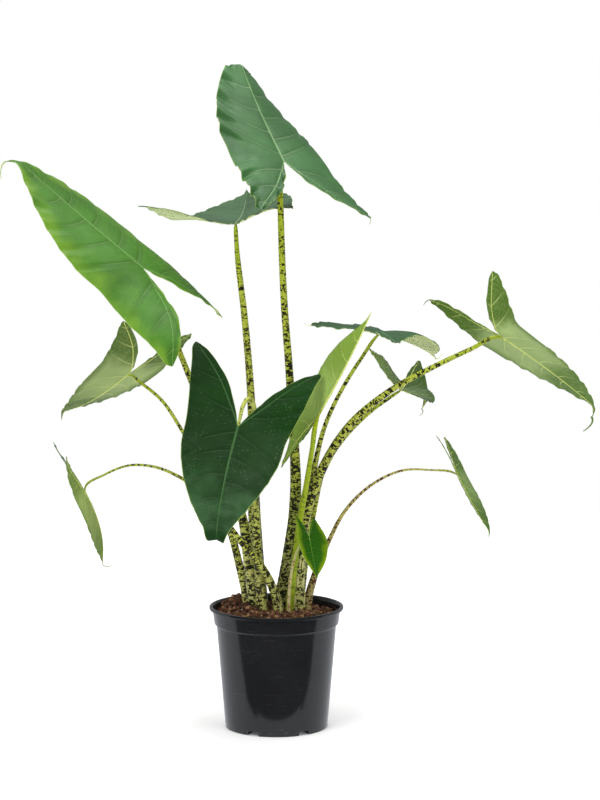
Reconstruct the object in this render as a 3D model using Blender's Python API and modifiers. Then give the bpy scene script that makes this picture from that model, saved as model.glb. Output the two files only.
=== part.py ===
"""Potted alocasia: a plastic nursery pot, potting soil, the plant's rhizome,
and twelve leaves, each one petiole and one arrow-shaped blade.

Metres, +Z up. The origin is the centre of the pot's foot on the ground; the
pot's axis is Z. Leaves are numbered from the tallest down.
"""
import bpy
import bmesh
import numpy as np
from math import sin, cos, tan, pi, radians
from mathutils import Vector

# ---------------------------------------------------------------- dimensions
POT_H = 0.191            # rim height above the ground
RIM_R = 0.105            # outer radius of the rolled lip (a 21 cm pot)
LIP_H = 0.0045           # depth of the lip
COLLAR_TOP_R = 0.0998    # stiffening collar just under the lip
COLLAR_BOT_R = 0.0972
COLLAR_H = 0.0270        # from the rim down to the step
BODY_TOP_R = 0.0938      # body just under the step
FOOT_R = 0.0803          # outer radius at the ground
WALL = 0.0016            # wall thickness
FLOOR_T = 0.0016         # floor thickness; its underside is on the ground
STEPS = 40               # facets round the pot
CHANNELS = 6             # drain channels pressed up into the floor
CHANNEL_W = 0.0195       # each opens in a notch in the wall's lower edge
CHANNEL_H = 0.0065
CHANNEL_IN_R = 0.036     # where a channel stops, round a flat centre
CHANNEL_START = radians(-117.0)
HOLE_R = 0.0055          # drain hole in each channel's roof
HOLE_RING_R = 0.052

SOIL_EDGE_Z = 0.1765     # soil level at the wall
SOIL_MID_Z = 0.1845      # soil level round the stems
GAP = 0.0003             # clearance between touching pieces

RHIZOME_C = (0.004, 0.004, 0.136)
RHIZOME_R = (0.058, 0.042, 0.024)
PETIOLE_FOOT_GAP = 0.0045  # from the rhizome up to a petiole's foot

BLADE_T = 0.0016         # blade thickness
SINUS = 0.03             # blade tissue behind the petiole joint, of the length

# Each leaf's blade, in metres and degrees. at is the joint with the petiole.
# heading turns the apex about Z from +X, rise lifts it, roll tips the blade
# about its midrib. length is joint to apex; width is each half's widest reach
# from the midrib (left, right); lobe is how far each rear lobe reaches back
# and spread how far it stands out. bend, tip, sweep and twist act along the
# midrib, the tip over a last stretch that hook places (where it starts and
# how long it is); fold and curl across each half (left, right, at the apex); droop,
# lobe_fold and lobe_curl act on the rear lobes (left, right).
LEAVES = {
    "01": dict(at=(0.009, 0.050, 0.888), heading=117, rise=41, roll=12, length=0.265, width=(0.092, 0.090),
               lobe=(0.131, 0.130), spread=(0.093, 0.109), hook=(0.76, 0.12), bend=-11, tip=163, sweep=0, twist=10,
               fold=(4, 12, -20), curl=(-22, -27, -18), droop=(3, -13),
               lobe_fold=(10, 11), lobe_curl=(-20, -19)),
    "02": dict(at=(-0.067, 0.200, 0.779), heading=85, rise=3, roll=-9, length=0.256, width=(0.091, 0.097),
               lobe=(0.130, 0.128), spread=(0.144, 0.109), bend=-17, tip=-7, sweep=2, twist=-9,
               fold=(18, 18, 23), curl=(-10, -13, -20), droop=(1, 0),
               lobe_fold=(38, 31), lobe_curl=(-16, -35)),
    "03": dict(at=(-0.210, -0.020, 0.726), heading=170, rise=39, roll=-23, length=0.266, width=(0.098, 0.106),
               lobe=(0.152, 0.144), spread=(0.145, 0.109), bend=-9, tip=64, sweep=8, twist=2,
               fold=(8, 7, -7), curl=(-39, -50, -27), droop=(4, 7),
               lobe_fold=(37, 3), lobe_curl=(-54, -45)),
    "04": dict(at=(-0.235, 0.080, 0.546), heading=142, rise=-34, roll=6, length=0.188, width=(0.064, 0.064),
               lobe=(0.106, 0.102), spread=(0.076, 0.066), bend=-27, tip=77, sweep=-10, twist=-8,
               fold=(14, 7, 5), curl=(-5, -13, -18), droop=(-23, -13),
               lobe_fold=(23, 21), lobe_curl=(-9, -28)),
    "05": dict(at=(-0.294, -0.060, 0.381), heading=219, rise=-121, roll=33, length=0.140, width=(0.054, 0.053),
               lobe=(0.080, 0.075), spread=(0.043, 0.048), bend=-34, tip=15, sweep=-11, twist=12,
               fold=(20, 16, 19), curl=(-14, -16, -7), droop=(29, 8),
               lobe_fold=(26, 30), lobe_curl=(-21, -23)),
    "06": dict(at=(-0.058, -0.130, 0.484), heading=-105, rise=-42, roll=-13, length=0.254, width=(0.077, 0.078),
               lobe=(0.118, 0.141), spread=(0.108, 0.099), hook=(0.80, 0.09), bend=-13, tip=160, sweep=10, twist=1,
               fold=(-5, 7, 18), curl=(9, 6, 3), droop=(19, 5),
               lobe_fold=(25, 26), lobe_curl=(-11, -19)),
    "07": dict(at=(0.065, -0.065, 0.498), heading=-36, rise=56, roll=-42, length=0.185, width=(0.063, 0.054),
               lobe=(0.090, 0.098), spread=(0.054, 0.040), bend=-17, tip=-2, sweep=-1, twist=14,
               fold=(69, 72, 63), curl=(1, 12, -10), droop=(-7, 30),
               lobe_fold=(74, 77), lobe_curl=(-4, 14)),
    "08": dict(at=(0.160, 0.050, 0.613), heading=63, rise=-9, roll=3, length=0.220, width=(0.079, 0.079),
               lobe=(0.104, 0.102), spread=(0.068, 0.078), bend=13, tip=11, sweep=-3, twist=21,
               fold=(16, 19, 9), curl=(-20, -31, -18), droop=(15, 17),
               lobe_fold=(9, 5), lobe_curl=(1, -12)),
    "09": dict(at=(0.197, 0.090, 0.521), heading=73, rise=-12, roll=23, length=0.195, width=(0.067, 0.045),
               lobe=(0.101, 0.106), spread=(0.059, 0.060), bend=0, tip=93, sweep=3, twist=6,
               fold=(23, 18, 5), curl=(20, 11, -12), droop=(-4, -5),
               lobe_fold=(38, 52), lobe_curl=(-6, 6)),
    "10": dict(at=(0.347, -0.030, 0.616), heading=9, rise=-34, roll=-27, length=0.206, width=(0.070, 0.073),
               lobe=(0.112, 0.083), spread=(0.082, 0.089), bend=0, tip=88, sweep=13, twist=11,
               fold=(9, 2, 6), curl=(-2, -17, -16), droop=(-9, -1),
               lobe_fold=(29, 35), lobe_curl=(-25, -16)),
    "11": dict(at=(0.285, 0.030, 0.393), heading=6, rise=-64, roll=-5, length=0.115, width=(0.043, 0.043),
               lobe=(0.064, 0.069), spread=(0.035, 0.034), bend=-10, tip=50, sweep=9, twist=-9,
               fold=(13, 12, 13), curl=(-9, -11, -11), droop=(13, 15),
               lobe_fold=(18, 18), lobe_curl=(-11, -8)),
    "12": dict(at=(0.051, -0.075, 0.311), heading=-73, rise=-55, roll=-20, length=0.073, width=(0.029, 0.027),
               lobe=(0.037, 0.035), spread=(0.019, 0.018), bend=-10, tip=8, sweep=-6, twist=5,
               fold=(15, 15, 11), curl=(-4, -3, -11), droop=(18, 13),
               lobe_fold=(10, 12), lobe_curl=(-11, -10)),
}

# Each petiole's route, foot first: x, y, z in metres and its radius in mm.
# The last stretch, to the joint with the blade, follows from LEAVES.
ROUTES = {
    "01": [(0.011, 0.010, 0.180, 12.0), (0.021, 0.015, 0.264, 12.0), (0.028, 0.018, 0.325, 10.0), (0.021, 0.026, 0.543, 6.2),
           (0.012, 0.031, 0.667, 5.4), (0.007, 0.037, 0.799, 4.8), (0.006, 0.046, 0.850, 4.2)],
    "02": [(-0.029, 0.019, 0.180, 11.0), (-0.031, 0.028, 0.252, 10.8), (-0.036, 0.048, 0.347, 9.5), (-0.041, 0.100, 0.507, 6.2),
           (-0.052, 0.145, 0.632, 5.2), (-0.065, 0.182, 0.742, 3.8)],
    "03": [(-0.031, -0.006, 0.180, 8.5), (-0.043, -0.008, 0.264, 8.5), (-0.052, -0.010, 0.328, 7.5), (-0.066, -0.010, 0.375, 6.3),
           (-0.095, -0.006, 0.454, 5.4), (-0.133, 0.002, 0.547, 4.6), (-0.164, 0.008, 0.624, 4.2), (-0.193, 0.006, 0.690, 3.4)],
    "04": [(-0.046, 0.009, 0.170, 6.2), (-0.047, 0.010, 0.197, 6.2), (-0.061, 0.019, 0.263, 6.0), (-0.070, 0.026, 0.297, 5.6),
           (-0.105, 0.045, 0.383, 4.0), (-0.148, 0.062, 0.457, 2.9), (-0.184, 0.075, 0.508, 2.6), (-0.215, 0.080, 0.533, 2.3)],
    "05": [(0.006, -0.028, 0.172, 6.2), (0.001, -0.031, 0.205, 6.2), (-0.013, -0.039, 0.243, 6.0), (-0.029, -0.048, 0.270, 5.6),
           (-0.047, -0.053, 0.292, 5.0), (-0.069, -0.058, 0.322, 4.4), (-0.101, -0.065, 0.366, 3.4), (-0.142, -0.070, 0.401, 2.6),
           (-0.186, -0.070, 0.420, 2.1), (-0.222, -0.067, 0.422, 1.8), (-0.262, -0.062, 0.407, 1.6)],
    "06": [(-0.021, -0.023, 0.180, 7.0), (-0.030, -0.032, 0.301, 6.6), (-0.033, -0.045, 0.397, 5.0), (-0.031, -0.066, 0.475, 4.0),
           (-0.032, -0.078, 0.505, 3.7), (-0.036, -0.093, 0.524, 3.5), (-0.0435, -0.106, 0.528, 3.3), (-0.050, -0.1125, 0.516, 3.1),
           (-0.0535, -0.1145, 0.501, 2.6)],
    "07": [(0.019, -0.018, 0.180, 5.4), (0.041, -0.041, 0.357, 4.6), (0.047, -0.047, 0.391, 4.3), (0.055, -0.057, 0.442, 3.8)],
    "08": [(0.032, 0.019, 0.180, 6.2), (0.045, 0.026, 0.290, 5.8), (0.057, 0.032, 0.390, 4.6), (0.078, 0.038, 0.475, 3.5),
           (0.104, 0.043, 0.529, 3.1), (0.133, 0.048, 0.575, 2.8)],
    "09": [(0.036, 0.035, 0.180, 5.0), (0.056, 0.048, 0.318, 4.6), (0.079, 0.060, 0.406, 3.6), (0.110, 0.068, 0.450, 3.0),
           (0.150, 0.078, 0.488, 2.6)],
    "10": [(0.031, -0.004, 0.180, 10.0), (0.036, -0.008, 0.268, 10.0), (0.045, -0.009, 0.333, 8.6), (0.073, -0.012, 0.412, 7.2),
           (0.116, -0.016, 0.480, 5.9), (0.171, -0.021, 0.528, 5.0), (0.250, -0.026, 0.573, 4.0), (0.300, -0.028, 0.597, 3.4)],
    "11": [(0.047, 0.004, 0.170, 5.6), (0.049, 0.006, 0.194, 5.6), (0.060, 0.010, 0.237, 5.0), (0.082, 0.012, 0.291, 3.6),
           (0.106, 0.016, 0.336, 2.9), (0.151, 0.021, 0.380, 2.2), (0.199, 0.025, 0.401, 1.8), (0.241, 0.028, 0.401, 1.5)],
    "12": [(0.019, -0.034, 0.180, 2.6), (0.020, -0.039, 0.213, 2.5), (0.022, -0.044, 0.240, 2.2), (0.027, -0.052, 0.270, 1.9), (0.036, -0.064, 0.296, 1.6)],
}
# Where the petiole meets the blade: metres behind the joint, metres below the
# blade's middle surface, and the end's radius in mm.
JOINT = {"06": (0.006, 0.007, 1.2)}
TUBE_PITCH = 0.022       # spacing of the points along a petiole
PETIOLE_COLOUR = {"07": (0.45, 0.58, 0.08), "11": (0.45, 0.36, 0.18), "12": (0.50, 0.52, 0.24)}
BLADE_COLOUR = {"03": (0.11, 0.26, 0.08), "07": (0.28, 0.42, 0.12), "12": (0.16, 0.36, 0.07), "06": (0.035, 0.085, 0.035)}


# ------------------------------------------------------------------- helpers
def clear_scene():
    for ob in list(bpy.data.objects):
        bpy.data.objects.remove(ob, do_unlink=True)


def collection(name):
    c = bpy.data.collections.new(name)
    bpy.context.scene.collection.children.link(c)
    return c


def material(name, colour, roughness, metallic=0.0):
    m = bpy.data.materials.new(name)
    m.use_nodes = True
    b = next(n for n in m.node_tree.nodes if n.type == "BSDF_PRINCIPLED")
    b.inputs["Base Color"].default_value = (*colour, 1.0)
    b.inputs["Roughness"].default_value = roughness
    b.inputs["Metallic"].default_value = metallic
    m.diffuse_color = (*colour, 1.0)
    return m


def link(name, data, coll, mat=None):
    ob = bpy.data.objects.new(name, data)
    coll.objects.link(ob)
    if mat is not None:
        data.materials.append(mat)
    return ob


def as_cutter(ob):
    ob.hide_render = True
    ob.display_type = "WIRE"
    return ob


def cut(ob, cutter):
    m = ob.modifiers.new("cut_" + cutter.name, "BOOLEAN")
    m.operation = "DIFFERENCE"
    m.solver = "EXACT"
    m.object = cutter


def evaluated_mesh(ob, name):
    bpy.context.view_layer.update()
    dg = bpy.context.evaluated_depsgraph_get()
    me = bpy.data.meshes.new_from_object(ob.evaluated_get(dg))
    me.name = name
    return me


def turned(name, profile, coll, mat=None, steps=STEPS):
    """A profile of (radius, z), down its outer side, turned about Z."""
    me = bpy.data.meshes.new(name)
    me.from_pydata([(r, 0.0, z) for r, z in profile], [(i, i + 1) for i in range(len(profile) - 1)], [])
    ob = link(name, me, coll, mat)
    s = ob.modifiers.new("turn", "SCREW")
    s.axis = "Z"
    s.angle = 2 * pi
    s.steps = s.render_steps = steps
    s.use_merge_vertices = True
    s.merge_threshold = 0.00005
    s.use_smooth_shade = True
    return ob


def smooth(me, angle=35):
    me.shade_smooth()
    me.set_sharp_from_angle(angle=radians(angle))


def curve_tube(name, points, radii, coll, mat=None, sides=2):
    """A tube on a poly spline whose radius varies along it."""
    cu = bpy.data.curves.new(name, "CURVE")
    cu.dimensions = "3D"
    cu.bevel_depth = 1.0
    cu.bevel_resolution = sides
    cu.use_fill_caps = True
    sp = cu.splines.new("POLY")
    sp.points.add(len(points) - 1)
    for p, co, r in zip(sp.points, points, radii):
        p.co = (co[0], co[1], co[2], 1.0)
        p.radius = r
    sp.use_smooth = True
    return link(name, cu, coll, mat)


def spline(knots, n):
    """A smooth curve through rows of numbers, spaced by the length of x, y, z."""
    k = np.array(knots, float)
    t = np.r_[0.0, np.cumsum(np.linalg.norm(np.diff(k[:, :3], axis=0), axis=1))]
    d = np.diff(k, axis=0) / np.diff(t)[:, None]
    m = np.zeros_like(k)
    w = np.diff(t)
    m[1:-1] = (d[:-1] * w[1:, None] + d[1:] * w[:-1, None]) / (w[1:] + w[:-1])[:, None]
    m[0], m[-1] = d[0], d[-1]
    s = np.linspace(0.0, t[-1], n)
    i = np.clip(np.searchsorted(t, s, side="right") - 1, 0, len(t) - 2)
    h = (t[i + 1] - t[i])[:, None]
    u = ((s - t[i]) / h[:, 0])[:, None]
    return ((2 * u**3 - 3 * u**2 + 1) * k[i] + (u**3 - 2 * u**2 + u) * h * m[i]
            + (3 * u**2 - 2 * u**3) * k[i + 1] + (u**3 - u**2) * h * m[i + 1])


# -------------------------------------------------------------- leaf surface
def ramp(x):
    x = np.clip(x, 0.0, 1.0)
    return x * x * (3 - 2 * x)


def rotation(axis, angle):
    c, s = np.cos(angle), np.sin(angle)
    m = np.zeros(np.shape(angle) + (3, 3))
    i, j, k = {"x": (0, 1, 2), "y": (1, 2, 0), "z": (2, 0, 1)}[axis]
    m[..., i, i] = 1
    m[..., j, j] = m[..., k, k] = c
    m[..., j, k], m[..., k, j] = -s, s
    return m


def through(knots, at, x):
    """A smooth curve through knots that sit at the values at, read at x."""
    k, at = np.asarray(knots, float), np.asarray(at, float)
    d = np.diff(k, axis=0) / np.diff(at)[:, None]
    m = np.zeros_like(k)
    m[1:-1] = 0.5 * (d[1:] + d[:-1])
    m[0], m[-1] = d[0], d[-1]
    i = np.clip(np.searchsorted(at, x, side="right") - 1, 0, len(at) - 2)
    h = at[i + 1] - at[i]
    t, h = ((x - at[i]) / h)[..., None], h[..., None]
    return ((2 * t**3 - 3 * t**2 + 1) * k[i] + (t**3 - 2 * t**2 + t) * h * m[i]
            + (3 * t**2 - 2 * t**3) * k[i + 1] + (t**3 - t**2) * h * m[i + 1])


def outline(leaf, side, a, b):
    """The blade laid flat. a runs from the lobe tip (-1) past the joint with
    the petiole (0) to the apex (1), b from the midrib or the sinus (0) to the
    outer margin (1)."""
    L, W = leaf["length"], leaf["width"][side]
    lobe, S = leaf["lobe"][side], leaf["spread"][side]
    back = SINUS * L
    outer = [(-lobe, S), (-.93 * lobe, S + .035 * W), (-.74 * lobe, .8 * S + .22 * W), (-.47 * lobe, .52 * S + .49 * W),
             (-.2 * lobe, .22 * S + .78 * W), (.03 * L, W), (.22 * L, .965 * W), (.44 * L, .8 * W), (.66 * L, .52 * W),
             (.83 * L, .22 * W), (.915 * L, .07 * W), (L, .004 * W)]
    outer_at = [-1, -.9, -.7, -.45, -.2, 0, .2, .42, .64, .82, .91, 1]
    sinus = [(-lobe, S - .02 * W), (-.93 * lobe, .8 * S), (-.62 * lobe, .36 * S), (-.28 * lobe, .11 * S), (-back, 0)]
    sinus_at = [-1, -.85, -.55, -.25, 0]
    o = through(outer, outer_at, a)
    i = through(sinus, sinus_at, np.minimum(a, 0))
    mid = np.stack([-back + (L + back) * np.maximum(a, 0), 0 * a], -1)
    i = np.where((a > 0)[..., None], mid, i)
    q = i + (o - i) * b[..., None]
    # the side veins sweep forward between the midrib and the margin
    q[..., 0] -= .10 * L * b * (1 - b) * np.where(a > 0, np.sin(pi * np.clip(a, 0, 1)), 0)
    return q[..., 0], q[..., 1]


def frame_of(leaf):
    return (rotation("z", radians(leaf["heading"])) @ rotation("y", -radians(leaf["rise"]))
            @ rotation("x", radians(leaf["roll"])))


def surface(leaf, side, a, b):
    """Points of the blade's middle surface. side 0 is the left half."""
    u, v = outline(leaf, side, a, b)
    L, W, lobe = leaf["length"], leaf["width"][side], leaf["lobe"][side]
    sign = 1.0 if side == 0 else -1.0
    n = 60
    g = np.linspace(0, 1, n + 1)
    # the midrib as a bent spine: it nods, sways, and hooks over at the tip
    start, span = leaf.get("hook", (.86, .14))
    nod = np.radians(leaf["bend"] * g**1.4 + leaf["tip"] * ramp((g - start) / span))
    sway = np.radians(leaf["sweep"] * g**1.2)
    T = (rotation("y", nod) @ rotation("z", sway))[:, :, 0]
    spine = np.zeros((n + 1, 3))
    spine[1:] = np.cumsum(.5 * (T[1:] + T[:-1]) * L / n, 0)
    # behind the joint each lobe bends down along its own spine
    sag = np.radians(leaf["droop"][side] * 1.2 * g**1.2)
    T = np.stack([-np.cos(sag), 0 * sag, -np.sin(sag)], -1)
    rear = np.zeros((n + 1, 3))
    rear[1:] = np.cumsum(.5 * (T[1:] + T[:-1]) * lobe * 1.2 / n, 0)

    fore = u >= 0
    x, xb = np.clip(u / L, 0, 1), np.clip(-u / (1.2 * lobe), 0, 1)

    def along(t, rows):
        return np.stack([np.interp(t, g, rows[:, k]) for k in range(3)], -1)

    p = np.where(fore[..., None], along(x, spine), along(xb, rear))
    pitch = np.where(fore, np.interp(x, g, nod), -np.interp(xb, g, sag))
    yaw = np.where(fore, np.interp(x, g, sway), 0)
    turn = np.where(fore, radians(leaf["twist"]) * x, 0)
    M = rotation("y", pitch) @ rotation("z", yaw) @ rotation("x", turn)

    # across, each half is an arc: it leaves the midrib at the fold angle
    k = ramp(-u / lobe)
    f0, f1, f2 = leaf["fold"][side], leaf["fold"][2], leaf["lobe_fold"][side]
    c0, c1, c2 = leaf["curl"][side], leaf["curl"][2], leaf["lobe_curl"][side]
    fold = np.radians(np.where(fore, f0 + (f1 - f0) * ramp(x), f0 + (f2 - f0) * k))
    curl = np.radians(np.where(fore, c0 + (c1 - c0) * ramp(x), c0 + (c2 - c0) * k)) / W
    curl = np.where(np.abs(curl) < 1e-3, 1e-3, curl)
    y = (np.sin(fold + curl * v) - np.sin(fold)) / curl
    z = (np.cos(fold) - np.cos(fold + curl * v)) / curl
    q = p + sign * M[..., :, 1] * y[..., None] + M[..., :, 2] * z[..., None]
    return q @ frame_of(leaf).T + np.array(leaf["at"])


ROWS = np.array([-1, -.86, -.64, -.42, -.2, 0, .15, .3, .45, .6, .74, .86, .94, 1])
COLS = np.array([0, .36, .72, 1.0])


def blade(name, leaf, coll, mat):
    """Both halves as one open sheet, sharing the midrib, then thickened."""
    rows = ROWS
    if "hook" in leaf:                               # more rows where the tip folds over
        start, span = leaf["hook"]
        rows = np.array([r for r in ROWS if r < start - .05] + [start, start + .35 * span, start + .65 * span, start + span, .94, 1])
    a, b = np.meshgrid(rows, COLS, indexing="ij")
    left, right = surface(leaf, 0, a, b), surface(leaf, 1, a, b)
    zero = int(np.argmin(np.abs(rows)))
    last = len(rows) - 1
    bm = bmesh.new()
    grid = [{}, {}]
    for side, pts in ((0, left), (1, right)):
        for i in range(len(rows)):
            for j in range(len(COLS)):
                if side == 1 and j == 0 and i >= zero:
                    v = grid[0][(i, 0)]              # the midrib belongs to both
                elif i in (0, last) and j > 0:
                    v = grid[side][(i, 0)]           # the tips are points
                else:
                    v = bm.verts.new(pts[i, j])
                grid[side][(i, j)] = v
        for i in range(last):
            for j in range(len(COLS) - 1):
                q = [grid[side][k] for k in ((i, j), (i, j + 1), (i + 1, j + 1), (i + 1, j))]
                q = list(dict.fromkeys(q))
                bm.faces.new(q if side == 1 else q[::-1])
    bmesh.ops.recalc_face_normals(bm, faces=bm.faces)
    me = bpy.data.meshes.new(name)
    bm.to_mesh(me)
    bm.free()
    me.shade_smooth()
    ob = link(name, me, coll, mat)
    s = ob.modifiers.new("thickness", "SOLIDIFY")
    s.thickness = BLADE_T
    s.offset = 0.0
    return ob


# --------------------------------------------------------------------- build
clear_scene()
plant = collection("potted_alocasia")
tools = collection("cutters")

pot_plastic = material("pot_plastic", (0.028, 0.029, 0.033), 0.42)
potting_soil = material("potting_soil", (0.085, 0.045, 0.030), 0.95)
corm_skin = material("corm_skin", (0.30, 0.20, 0.12), 0.8)

# --- pot: lip, collar, tapered body, and a floor with drain channels
inner_lip = RIM_R - 0.0052
floor_edge = FOOT_R + 0.0006 - WALL
profile = [
    (0.0, FLOOR_T),
    (floor_edge, FLOOR_T),
    (BODY_TOP_R - WALL, POT_H - COLLAR_H - 0.0015),
    (COLLAR_BOT_R - WALL, POT_H - COLLAR_H + 0.0012),
    (COLLAR_TOP_R - WALL, POT_H - LIP_H),
    (inner_lip + 0.0010, POT_H),
    (RIM_R - 0.0010, POT_H),
    (RIM_R, POT_H - 0.0010),
    (RIM_R, POT_H - LIP_H),
    (COLLAR_TOP_R, POT_H - LIP_H - 0.0012),
    (COLLAR_BOT_R, POT_H - COLLAR_H),
    (BODY_TOP_R, POT_H - COLLAR_H - 0.0025),
    (FOOT_R, 0.0),
    (0.0, 0.0),
]
pot = turned("pot", profile, plant, pot_plastic)


def radial_box(name, angle, r0, r1, width, z0, z1):
    """A box that lies along a radius of the pot."""
    r = (r0 + r1) / 2
    bpy.ops.mesh.primitive_cube_add(size=1.0, location=(r * cos(angle), r * sin(angle), (z0 + z1) / 2),
                                    rotation=(0, 0, angle), scale=(r1 - r0, width, z1 - z0))
    ob = bpy.context.object
    ob.name = ob.data.name = name
    ob.users_collection[0].objects.unlink(ob)
    tools.objects.link(ob)
    return as_cutter(ob)


CHANNEL_ANGLES = [CHANNEL_START + i * 2 * pi / CHANNELS for i in range(CHANNELS)]
for i, ang in enumerate(CHANNEL_ANGLES):
    roof = radial_box("channel_roof_%d" % (i + 1), ang, CHANNEL_IN_R, FOOT_R - 0.0014, CHANNEL_W + 2 * WALL,
                      0.0004, CHANNEL_H + WALL)
    m = pot.modifiers.new("roof_%d" % (i + 1), "BOOLEAN")
    m.operation = "UNION"
    m.solver = "EXACT"
    m.object = roof
for i, ang in enumerate(CHANNEL_ANGLES):
    cut(pot, radial_box("channel_%d" % (i + 1), ang, CHANNEL_IN_R + WALL, FOOT_R + 0.010, CHANNEL_W, -0.002, CHANNEL_H))
    bpy.ops.mesh.primitive_cylinder_add(vertices=12, radius=HOLE_R, depth=0.012,
                                        location=(HOLE_RING_R * cos(ang), HOLE_RING_R * sin(ang), CHANNEL_H + 0.001))
    c = as_cutter(bpy.context.object)
    c.name = "drain_%d" % (i + 1)
    c.users_collection[0].objects.unlink(c)
    tools.objects.link(c)
    cut(pot, c)

# --- petioles: tapering tubes from the rhizome to the blades
petiole_mats = {}


def foot_z(x, y):
    """Just above the rhizome's surface under x, y."""
    q = 1 - ((x - RHIZOME_C[0]) / RHIZOME_R[0])**2 - ((y - RHIZOME_C[1]) / RHIZOME_R[1])**2
    return RHIZOME_C[2] + RHIZOME_R[2] * max(q, 0.25)**0.5 + PETIOLE_FOOT_GAP


def petiole_route(key):
    """Foot, route points and joint as rows of x, y, z, radius."""
    rows = [list(p) for p in ROUTES[key]]
    rows = [[x, y, z, r * 0.001] for x, y, z, r in rows]
    p0, p1 = np.array(rows[0]), np.array(rows[1])
    d = (p1 - p0)[:3] / (p1 - p0)[2]
    foot = [*(p0[:3] + d * (foot_z(p0[0], p0[1]) - p0[2])), p0[3]]
    leaf = LEAVES[key]
    back, below, r_end = JOINT.get(key, (0.004, 0.0045, 1.3))
    end = np.array(leaf["at"]) + frame_of(leaf) @ np.array([-back, 0.0, -below])
    return [foot] + rows + [[*end, r_end * 0.001]]


petioles = {}
for key in sorted(ROUTES):
    knots = petiole_route(key)
    length = sum(np.linalg.norm(np.array(a[:3]) - np.array(b[:3])) for a, b in zip(knots, knots[1:]))
    pts = spline(knots, max(7, int(round(length / TUBE_PITCH)) + 1))
    mat = material("petiole_skin_" + key, PETIOLE_COLOUR.get(key, (0.42, 0.46, 0.13)), 0.45)
    curve_tube("petiole_" + key, pts[:, :3], pts[:, 3], plant, mat)
    petioles[key] = pts

# --- soil: a plug that fills the pot, mounded round the stems, with the
#     stems and the rhizome bedded in it
z0 = FLOOR_T + GAP
z_step = POT_H - COLLAR_H - 0.0015
top_r = (COLLAR_BOT_R - WALL) - GAP - 0.0004
tops = [0.0, 0.012, 0.025, 0.038, 0.050, 0.062, 0.074, 0.085, top_r]
prof = [(r, SOIL_MID_Z + (SOIL_EDGE_Z - SOIL_MID_Z) * float(ramp((r - 0.035) / (top_r - 0.035)))) for r in tops]
prof += [(COLLAR_BOT_R - WALL - GAP - 0.0004, POT_H - COLLAR_H + 0.0022), (BODY_TOP_R - WALL - GAP - 0.0003, z_step - 0.0008),
         (floor_edge - GAP, z0), (0.0, z0)]
plug = turned("soil_plug", prof, tools)
soil_me = evaluated_mesh(plug, "soil")
bpy.data.objects.remove(plug, do_unlink=True)
for v in soil_me.vertices:
    r = (v.co.x**2 + v.co.y**2) ** 0.5
    if v.co.z > SOIL_EDGE_Z - 0.0005 and r < top_r - 0.001:
        bump = (sin(71 * v.co.x + 1.3) * cos(64 * v.co.y - 0.7) + 0.6 * sin(133 * v.co.x - 97 * v.co.y + 2.1)
                + 0.5 * cos(151 * v.co.y + 45 * v.co.x))
        v.co.z += 0.0016 * bump * min(1.0, (top_r - r) / 0.015)
soil_me.materials.clear()
soil = link("soil", soil_me, plant, potting_soil)
smooth(soil_me, 50)

bpy.ops.mesh.primitive_uv_sphere_add(segments=20, ring_count=10, radius=1.0, location=RHIZOME_C, scale=RHIZOME_R)
rhizome = bpy.context.object
rhizome.name = rhizome.data.name = "rhizome"
rhizome.users_collection[0].objects.unlink(rhizome)
plant.objects.link(rhizome)
rhizome.data.materials.append(corm_skin)
rhizome.data.shade_smooth()
bpy.ops.mesh.primitive_uv_sphere_add(segments=20, ring_count=10, radius=1.0, location=RHIZOME_C,
                                     scale=[r + 0.0006 for r in RHIZOME_R])
hollow = as_cutter(bpy.context.object)
hollow.name = "rhizome_hollow"
hollow.users_collection[0].objects.unlink(hollow)
tools.objects.link(hollow)

for key, pts in petioles.items():
    n = int(np.argmax(pts[:, 2] > 0.205)) + 1
    low = pts[:n].copy()
    low[:, 3] += 0.0005
    step = low[1, :3] - low[0, :3]
    low[0, :3] -= step / np.linalg.norm(step) * 0.0006
    raw = curve_tube("raw_socket", low[:, :3], low[:, 3], tools)
    me = evaluated_mesh(raw, "petiole_socket_" + key)
    bpy.data.objects.remove(raw, do_unlink=True)
    bm = bmesh.new()
    bm.from_mesh(me)
    bmesh.ops.remove_doubles(bm, verts=bm.verts, dist=0.00001)
    bm.to_mesh(me)
    bm.free()
    socket = as_cutter(link("petiole_socket_" + key, me, tools))
    cut(soil, socket)
cut(soil, hollow)
for i, ang in enumerate(CHANNEL_ANGLES):
    cut(soil, radial_box("channel_room_%d" % (i + 1), ang, CHANNEL_IN_R - GAP, FOOT_R + 0.010, CHANNEL_W + 2 * (WALL + GAP),
                         -0.002, CHANNEL_H + WALL + GAP))

# --- blades
for key, leaf in sorted(LEAVES.items()):
    mat = material("blade_skin_" + key, BLADE_COLOUR.get(key, (0.075, 0.165, 0.055)), 0.4)
    blade("blade_" + key, leaf, plant, mat)
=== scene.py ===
"""The looks of the potted alocasia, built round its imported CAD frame.

Every visible piece is made here in mesh code: arrow-shaped blades with veins,
zebra-marked petioles, a bed of potting mix, and the nursery pot. The leaf
table and the routes are those of the CAD, in metres and degrees.
"""
from math import sin, cos, pi, radians

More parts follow.
